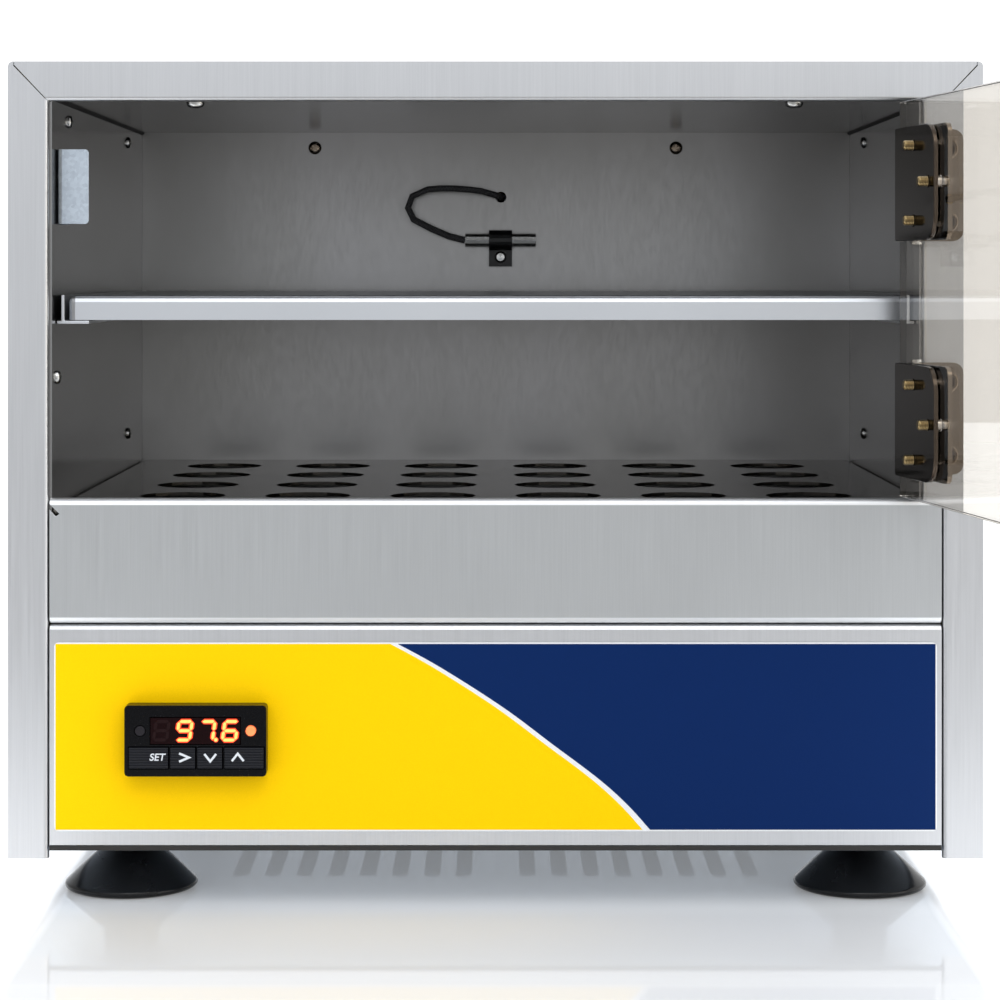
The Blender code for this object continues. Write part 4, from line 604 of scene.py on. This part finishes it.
def makeLabel():
    low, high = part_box("control_label")
    left, right = (low.x - caseMiddle) / mm + label["border"], (high.x - caseMiddle) / mm - label["border"]
    bottom, top = low.z / mm + label["border"], high.z / mm - label["border"]
    inside = [p for p in smoothLine(label["curve"]) if bottom < p[1] < top]
    slope = label["stripe"] / 2 / 0.82  # the stripe's half width, measured across
    for name, side in (("yellowField", -1), ("navyField", 1)):
        line = [(x + side * slope, z) for x, z in inside]
        first, last = line[0], line[-1]
        edge = [(first[0] - (top - first[1]) * 1.83, top)] + line + [(last[0] + (last[1] - bottom) * 0.9, bottom)]
        if side < 0:
            outline = [(left, top), (left, bottom)] + list(reversed(edge))
        else:
            outline = [(right, bottom), (right, top)] + edge
        bm = bmesh.new()
        addPlate(bm, outline, label["ink"], frontPlace(0, (low.y - frontFace) / mm, 0), low=0.01)
        bmesh.ops.recalc_face_normals(bm, faces=bm.faces)
        finishPiece(name, bm, "case", ink["yellow" if side < 0 else "navy"])


makeLabel()
print("label printed")


controller = {"bezelEdge": 0.7, "digitHeight": 7.3, "digitWidth": 4.4, "stroke": 1.05, "slant": 0.14,
              "digits": [(-105.1, "abcdfg"), (-97.35, "abc"), (-89.6, "acdefg")], "level": 61.4,
              "halo": 0.38, "dotRadius": 0.62, "ridgePitch": 0.88, "ridge": 0.14}
litSegment = litPlastic("lit segment", "#FFA050", "#FFB25C", 1.05)
segmentHalo = litPlastic("segment glow", "#D02408", "#FF3A0C", 0.8)
dimSegment = mouldedPlastic("unlit segment", "#1E0B0D", 0.3, sheen=0.12)
markWhite = printedFilm("pale pad-printed ink", "#D9DEE4", 0.4)


def digitSegments(letters, halo=0.0):  # outlines of the lit strokes of one digit, in millimetres
    w, h, s = controller["digitWidth"] / 2, controller["digitHeight"] / 2, controller["stroke"] / 2
    gap = 0.12 - halo
    strokes = {"a": (-w, h, w, h), "g": (-w, 0, w, 0), "d": (-w, -h, w, -h), "f": (-w, 0, -w, h),
               "b": (w, 0, w, h), "e": (-w, -h, -w, 0), "c": (w, -h, w, 0)}
    s += halo
    shapes = []
    for letter in letters:
        x1, y1, x2, y2 = strokes[letter]
        y1, y2 = [y - math.copysign(controller["stroke"] / 2, y) if y else 0 for y in (y1, y2)]
        if y1 == y2:
            x1, x2 = x1 + gap, x2 - gap
            shape = [(x1, y1), (x1 + s, y1 - s), (x2 - s, y1 - s), (x2, y1), (x2 - s, y1 + s), (x1 + s, y1 + s)]
        else:
            y1, y2 = min(y1, y2) + gap, max(y1, y2) - gap
            shape = [(x1, y1), (x1 + s, y1 + s), (x1 + s, y2 - s), (x1, y2), (x1 - s, y2 - s), (x1 - s, y1 + s)]
        shapes.append([(x + y * controller["slant"], y) for x, y in shape])
    return shapes


def makeDisplay():
    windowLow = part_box("display_window")[0]
    face = (windowLow.y - frontFace) / mm
    sets = [("litDigits", litSegment, 0.0, 0.10), ("digitGlow", segmentHalo, controller["halo"], 0.03)]
    for name, material, halo, proud in sets:
        bm = bmesh.new()
        for x, letters in controller["digits"]:
            for shape in digitSegments(letters, halo):
                addPlate(bm, shape, proud, frontPlace(x, face, controller["level"]), low=0.01)
        dotX = controller["digits"][1][0] + 2.9
        radius = controller["dotRadius"] * (1 + halo)
        dot = [(radius * math.cos(a * math.pi / 8), radius * math.sin(a * math.pi / 8)) for a in range(16)]
        dotLevel = controller["level"] - controller["digitHeight"] / 2 + 0.6
        addPlate(bm, dot, proud, frontPlace(dotX, face, dotLevel), low=0.01)
        bmesh.ops.recalc_face_normals(bm, faces=bm.faces)
        finishPiece(name, bm, "case", material)
    bm = bmesh.new()
    for shape in digitSegments("abcdefg"):
        addPlate(bm, shape, 0.04, frontPlace(-112.85, face, controller["level"]), low=0.01)
    bmesh.ops.recalc_face_normals(bm, faces=bm.faces)
    finishPiece("unlitDigit", bm, "case", dimSegment)


def makeBezel():
    bm = cleanCopy("controller_bezel")
    finishPiece("bezelMoulding", bm, "case", finish["blackPlastic"], ["controller_bezel"],
                bevel=controller["bezelEdge"], steps=3)


def strokeOutline(points, width):  # a flat line of even width through two or three points
    half = width / 2
    sides = ([], [])
    for i, p in enumerate(points):
        before = Vector(points[i]) - Vector(points[i - 1]) if i else Vector(points[1]) - Vector(points[0])
        after = Vector(points[i + 1]) - Vector(points[i]) if i + 1 < len(points) else before
        normal = (before.normalized() + after.normalized()).normalized()
        normal = Vector((-normal.y, normal.x))
        reach = half / max(0.4, normal.dot(Vector((-after.y, after.x)).normalized()))
        for side, sign in zip(sides, (1, -1)):
            side.append(tuple(Vector(p) + normal * sign * reach))
    return sides[0] + list(reversed(sides[1]))


keyMarks = {"right_key": (-105.2, [(-1.6, 1.4), (1.7, 0), (-1.6, -1.4)]),
            "down_key": (-96.3, [(-2.0, 1.2), (0, -1.3), (2.0, 1.2)]),
            "up_key": (-87.0, [(-2.0, -1.2), (0, 1.3), (2.0, -1.2)])}


def makeText(name, text, height, slant, place, body, material, proud=0.05):
    curve = bpy.data.curves.new(name, "FONT")
    curve.body = text
    curve.size = height * mm / 0.7
    curve.align_x, curve.align_y = "CENTER", "CENTER"
    curve.shear = slant
    curve.offset = 0.06 * mm
    curve.extrude = proud * mm / 2
    carrier = bpy.data.objects.new(name, curve)
    bpy.context.scene.collection.objects.link(carrier)
    graph = bpy.context.evaluated_depsgraph_get()
    mesh = bpy.data.meshes.new_from_object(carrier.evaluated_get(graph))
    bpy.data.objects.remove(carrier)
    mesh.transform(place)
    return finishMesh(name, mesh, body, material)


def makeKeys():
    for key in ("set_key", "right_key", "down_key", "up_key"):
        low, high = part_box(key)
        front, back = (low.y - frontFace) / mm, (high.y - frontFace) / mm
        bottom, top = low.z / mm, high.z / mm
        width, depth = (high.x - low.x) / mm, controller["ridge"]
        count = round((top - bottom) / controller["ridgePitch"])
        pitch = (top - bottom) / count
        outline = [(back, bottom)]
        for i in range(count):
            z = bottom + i * pitch
            outline += [(front + depth, z + 0.08 * pitch), (front, z + 0.3 * pitch), (front, z + 0.7 * pitch),
                        (front + depth, z + 0.92 * pitch)]
        outline.append((back, top))
        bm = bmesh.new()
        side = Matrix.Translation(at((low.x - caseMiddle) / mm, 0, 0)) @ Matrix(
            ((0, 0, 1, 0), (1, 0, 0, 0), (0, 1, 0, 0), (0, 0, 0, 1)))
        addPlate(bm, outline, width, side)
        bmesh.ops.recalc_face_normals(bm, faces=bm.faces)
        finishPiece(key.replace("_key", "Key") + "Cap", bm, key, finish["keyPlastic"], [key])
        if key in keyMarks:
            bm = bmesh.new()
            addPlate(bm, strokeOutline(keyMarks[key][1], 0.75), 0.05,
                     frontPlace(keyMarks[key][0], front, (bottom + top) / 2 + 0.25), low=-0.01)
            bmesh.ops.recalc_face_normals(bm, faces=bm.faces)
            finishPiece(key.replace("_key", "Key") + "Mark", bm, key, markWhite)
        else:
            makeText("setKeyMark", "SET", 2.35, 0.18, frontPlace(-114.3, front - 0.02, (bottom + top) / 2 + 0.25), key,
                     markWhite)


makeBezel()
makeDisplay()
makeKeys()
print("controller made")


def screwTree():
    tree = bpy.data.node_groups.new("screws on points", "GeometryNodeTree")
    ports = {}
    for portName, kind in (("Points", "NodeSocketGeometry"), ("Head", "NodeSocketObject"),
                         ("Head radius", "NodeSocketFloat"), ("Finish", "NodeSocketMaterial"),
                         ("Turn seed", "NodeSocketInt")):
        ports[portName] = tree.interface.new_socket(portName, in_out="INPUT", socket_type=kind)
    tree.interface.new_socket("Screws", in_out="OUTPUT", socket_type="NodeSocketGeometry")
    into = addNode(tree, "NodeGroupInput")
    head = addNode(tree, "GeometryNodeObjectInfo", links={"Object": into.outputs["Head"]})
    way = addNode(tree, "GeometryNodeInputNamedAttribute", {"Name": "facing"}, data_type="FLOAT_VECTOR")
    stand = addNode(tree, "FunctionNodeAlignRotationToVector", links={"Vector": way.outputs["Attribute"]}, axis="Z")
    spin = addNode(tree, "FunctionNodeRandomValue", {2: 0.0, 3: math.pi / 2}, {"Seed": into.outputs["Turn seed"]},
                   data_type="FLOAT")
    turn = addNode(tree, "FunctionNodeAxisAngleToRotation", {"Axis": (0, 0, 1)}, {"Angle": spin.outputs[1]})
    both = addNode(tree, "FunctionNodeRotateRotation", links={"Rotation": stand, "Rotate By": turn},
                   rotation_space="LOCAL")
    placed = addNode(tree, "GeometryNodeInstanceOnPoints", links={
        "Points": into.outputs["Points"], "Instance": head.outputs["Geometry"], "Rotation": both,
        "Scale": into.outputs["Head radius"]})
    real = addNode(tree, "GeometryNodeRealizeInstances", links={"Geometry": placed})
    painted = addNode(tree, "GeometryNodeSetMaterial",
                      links={"Geometry": real, "Material": into.outputs["Finish"]})
    addNode(tree, "NodeGroupOutput", links={0: painted})
    return tree, ports


screws, screwPorts = screwTree()


def crossTool(reach, width, depth, top):  # the recess of a cross-head screw
    corners = [(width, width), (width, reach), (-width, reach), (-width, width), (-reach, width), (-reach, -width),
               (-width, -width), (-width, -reach), (width, -reach), (width, -width), (reach, -width), (reach, width)]
    tool = bmesh.new()
    addPlate(tool, [(x / mm, y / mm) for x, y in corners], (depth + 0.3) / mm, Matrix.Identity(4), (top - depth) / mm)
    return tool


def headObject(name, profile, reach=0.0, width=0.0, depth=0.0, steps=32):  # a head of radius 1, its axis up
    bm = bmesh.new()
    addTurned(bm, profile, Matrix.Identity(4), steps, 1.0)
    if reach:
        bm = cutMesh(bm, crossTool(reach, width, depth, profile[-1][1]))
    mesh = bpy.data.meshes.new(name)
    bm.to_mesh(mesh)
    bm.free()
    mesh.shade_smooth()
    mesh.set_sharp_from_angle(angle=math.radians(35))
    obj = bpy.data.objects.new(name, mesh)
    bpy.context.scene.collection.objects.link(obj)
    return obj


threadProfile = [(0, -0.2), (0.88, -0.2)]
for turnOfThread in range(6):
    rise = turnOfThread * 0.3
    threadProfile += [(0.88, 0.05 + rise), (1.0, 0.15 + rise), (1.0, 0.2 + rise)]
threadProfile += [(0.86, 1.9), (0.7, 2.05), (0, 2.05)]
heads = {
    "pan": headObject("panHead", [(0, -0.12), (1.0, -0.12), (1.0, 0.1), (0.95, 0.3), (0.8, 0.48), (0.5, 0.6),
                                  (0, 0.64)], 0.52, 0.13, 0.4),
    "dome": headObject("domeHead", [(0, -0.1), (0.8, -0.1), (0.8, 0.35), (1.0, 0.37), (1.0, 0.5), (0.95, 0.7),
                                    (0.8, 0.88), (0.5, 1.0), (0, 1.04)], 0.5, 0.13, 0.4),
    "flat": headObject("flatHead", [(0, -0.2), (0.98, -0.2), (1.0, 0.02), (0.94, 0.07), (0.5, 0.1), (0, 0.11)],
                       0.55, 0.12, 0.3),
    "tail": headObject("screwTail", threadProfile),
    "ring": headObject("ringRim", [(0, -0.1), (1.0, -0.1), (1.0, 0.08), (0.93, 0.13), (0.84, 0.08), (0.84, 0.0),
                                   (0, 0.0)]),
}


def placeScrews(name, spots, head, radius, body, material, seed=3):
    mesh = bpy.data.meshes.new(name)
    mesh.from_pydata([tuple(place) for place, facing in spots], [], [])
    way = mesh.attributes.new("facing", "FLOAT_VECTOR", "POINT")
    way.data.foreach_set("vector", [c for place, facing in spots for c in facing])
    carrier = bpy.data.objects.new(name, mesh)
    bpy.context.scene.collection.objects.link(carrier)
    setOut = carrier.modifiers.new("screws", "NODES")
    setOut.node_group = screws
    for portName, value in (("Head", heads[head]), ("Head radius", radius * mm), ("Finish", material),
                            ("Turn seed", seed)):
        setOut[screwPorts[portName].identifier] = value
    graph = bpy.context.evaluated_depsgraph_get()
    solid = bpy.data.meshes.new_from_object(carrier.evaluated_get(graph))
    bpy.data.objects.remove(carrier)
    return finishMesh(name, solid, body, material, sharp=38)


hinge = next(joint for joint in frame["joints"] if joint["name"] == "door_hinge")
doorPin = Vector(hinge["pos_m"])
doorTurn = Matrix.Translation(doorPin) @ Matrix.Rotation(math.radians(98), 4, "Z") @ Matrix.Translation(-doorPin)


def onDoor(x, y, z, facing):  # a spot on the closed door, carried to where the open door stands
    return doorTurn @ at(x, y, z), doorTurn.to_3x3() @ Vector(facing)


fasteners = {"ceiling": 3.2, "wall": 2.3, "back": 2.8, "side": 2.8, "rear": 2.6, "hinge": 2.8, "ring": 3.8,
             "tail": 1.75, "hingeHeights": (245.8, 166.6)}  # head radii, then the middles of the hinges


def makeScrews():
    front, back, left, right, down = (0, -1, 0), (0, 1, 0), (-1, 0, 0), (1, 0, 0), (0, 0, -1)
    wall, ceiling, rearFace = 151.5, 276.1, 275.0
    placeScrews("ceilingScrews", [(at(x, 13.5, ceiling), down) for x in (-103.5, 103)], "dome", fasteners["ceiling"],
                "case", finish["brightSteel"], 5)
    spots = [(at(side * wall, y, z), right if side < 0 else left) for side in (-1, 1)
             for y, z in ((40, 269.6), (194, 269.6), (14, 180), (194, 150))]
    placeScrews("wallScrews", spots, "pan", fasteners["wall"], "case", finish["brightSteel"], 7)
    placeScrews("backScrews", [(at(x, 239.95, 269.6), front) for x in (-77.5, 77.2)], "pan", fasteners["back"],
                "case", finish["darkNickel"], 9)
    spots = [(at(side * 166, y, 50), left if side < 0 else right) for side in (-1, 1) for y in (16, 137, 258)]
    placeScrews("coverScrews", spots, "pan", fasteners["side"], "case", finish["brightSteel"], 11)
    spots = [(at(x, rearFace, z), back) for x in (-155, 155) for z in (30, 150, 272)]
    spots += [(at(x, rearFace, 281), back) for x in (-60, 60)]
    placeScrews("rearScrews", spots, "pan", fasteners["rear"], "case", finish["brightSteel"], 13)
    heights = fasteners["hingeHeights"]
    frameSpots = [(at(160, -1.8, height + rise), front) for height in heights for rise in (-12.4, 12.4)]
    placeScrews("frameHingeScrews", frameSpots, "flat", fasteners["hinge"], "case",
                finish["clampNickel"], 17)
    placeScrews("frameHingeRims", frameSpots, "ring", fasteners["ring"], "case",
                finish["darkNickel"], 17)
    doorSpots = [(128.5, -12.4), (128.5, 12.4), (112.5, 0)]
    spots = [onDoor(x, -1.8, height + rise, front) for height in heights for x, rise in doorSpots]
    placeScrews("doorHingeScrews", spots, "flat", fasteners["hinge"], "door", finish["darkNickel"], 19)
    spots = [onDoor(x, 11.3, height + rise, back) for height in heights for x, rise in doorSpots]
    placeScrews("doorScrewTails", spots, "tail", fasteners["tail"], "door", finish["brassTail"], 21)


makeScrews()
for head in heads.values():
    bpy.data.objects.remove(head)
print("screws set out")


seam = {"outline": [(151.5, 276.1), (150.4, 276.1), (150.9, 275.4), (151.5, 275.0)], "length": 235, "rear": 239.4}


def makeSeams():
    # painted shade: black strips in the corners between the ceiling and the side walls, standing for the shadow in the
    # seams
    bm = bmesh.new()
    for side in (-1, 1):
        outline = [(side * x, z) for x, z in seam["outline"]]
        if side > 0:
            outline.reverse()
        addPlate(bm, outline, seam["length"], frontPlace(0, seam["rear"], 0))
    bmesh.ops.recalc_face_normals(bm, faces=bm.faces)
    finishPiece("cornerSeams", bm, "case", finish["sealant"])


foot = {"neck": 9.75, "neckHeight": 5.0, "radius": 23.3, "height": 19.0, "rim": 3.0, "dish": 2.2}


def makeFeet():
    f = foot
    profile = [(0, f["height"]), (f["neck"] - 0.3, f["height"]), (f["neck"], f["height"] - 0.3),
               (f["neck"], f["height"] - f["neckHeight"])]
    for step in range(1, 13):  # the skirt flares in a shallow curve
        t = step / 12
        profile.append((f["neck"] + (f["radius"] - 0.7 - f["neck"]) * t ** 0.92,
                        f["height"] - f["neckHeight"] - (f["height"] - f["neckHeight"] - 2.6) * t))
    profile += [(f["radius"] - 0.2, 2.1), (f["radius"], 1.5), (f["radius"] - 0.15, 0.8), (f["radius"] - 0.8, 0.15),
                (f["radius"] - 1.4, 0.0), (f["radius"] - 1.4 - f["rim"], 0.0), (15, 1.4), (8, f["dish"]),
                (0, f["dish"])]
    profile.reverse()
    for node in ("foot_front_left", "foot_front_right", "foot_rear_left", "foot_rear_right"):
        low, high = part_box(node)
        bm = bmesh.new()
        addTurned(bm, profile, Matrix.Translation(Vector(((low.x + high.x) / 2, (low.y + high.y) / 2, 0))), 96)
        bmesh.ops.recalc_face_normals(bm, faces=bm.faces)
        finishPiece("suctionFoot" + node[4:].title().replace("_", ""), bm, "case", finish["rubber"],
                    [node], sharp=50)


softened = {  # CAD plates and mouldings that only need their edges eased: node, body, slot, finish, radius
    "control_panel": ("case", "brushed_steel", "brushedSteel", 0.2),
    "shelf_rail_left": ("case", "chamber_steel", "shelfSteel", 0.2),
    "shelf_rail_right": ("case", "chamber_steel", "shelfSteel", 0.2),
    "upper_frame_leaf": ("case", "dark_nickel", "darkNickel", 0.25),
    "lower_frame_leaf": ("case", "dark_nickel", "darkNickel", 0.25),
    "upper_door_leaf": ("door", "dark_nickel", "darkNickel", 0.25),
    "lower_door_leaf": ("door", "dark_nickel", "darkNickel", 0.25),
    "upper_clamp_plate": ("door", "dark_nickel", "clampNickel", 0.3),
    "lower_clamp_plate": ("door", "dark_nickel", "clampNickel", 0.3),
    "door_pane": ("door", "clear_acrylic", "acrylic", 0.35),
    "mains_inlet": ("case", "black_plastic", "blackPlastic", 0.3),
    "fuse_drawer": ("fuse_drawer", "black_plastic", "blackPlastic", 0.3),
    "power_switch": ("case", "black_plastic", "blackPlastic", 0.3),
    "base_pan": ("case", "galvanised_steel", "galvanised", 0.2),
    "rear_panel": ("case", "galvanised_steel", "galvanised", 0.2)}
paneEdge = {"x": 150.5, "outline": [(0.4, 140.7), (9.1, 140.7), (9.1, 273.5), (0.4, 273.5)], "thick": 0.12, "sunk": 0.3}


def makePaneEdge():  # painted shade: a dark strip on the pane's edge beside its hinges, where the edge shows the dark inside of the case
    bm = bmesh.new()
    side = Matrix.Translation(at(paneEdge["x"], 0, 0)) @ Matrix(
        ((0, 0, 1, 0), (1, 0, 0, 0), (0, 1, 0, 0), (0, 0, 0, 1)))
    addPlate(bm, paneEdge["outline"], paneEdge["thick"], doorTurn @ side, low=-paneEdge["sunk"])
    bmesh.ops.recalc_face_normals(bm, faces=bm.faces)
    finishPiece("paneSawnEdge", bm, "door", finish["sealant"])


def makeStrikeTab():
    low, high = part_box("strike_tab")
    bm = cleanCopy("strike_tab")
    foldEdges(bm, lambda p: abs(p.x - low.x) < 0.02 * mm and abs(p.y - low.y) < 0.02 * mm, 2.2, 5)
    corners = [e for e in bm.edges if all(abs(v.co.x - high.x) < 0.02 * mm for v in e.verts)
               and abs(e.verts[0].co.z - e.verts[1].co.z) < 0.02 * mm]
    bmesh.ops.bevel(bm, geom=corners, offset=1.3 * mm, offset_type="OFFSET", segments=5, profile=0.5,
                    affect="EDGES", clamp_overlap=True)
    finishPiece("strikeTab", bm, "case", finish["galvanised"], ["strike_tab"], bevel=0.15)


def pieceName(node):
    words = node.split("_")
    return words[0] + "".join(word.title() for word in words[1:])


def easeEdges():
    for node, (body, slotName, finishName, radius) in softened.items():
        finishPiece(pieceName(node), cleanCopy(node), body, finish[finishName], [node], bevel=radius)


makeSeams()
makeFeet()
makePaneEdge()
makeStrikeTab()
easeEdges()
print("feet, seams and plates made")
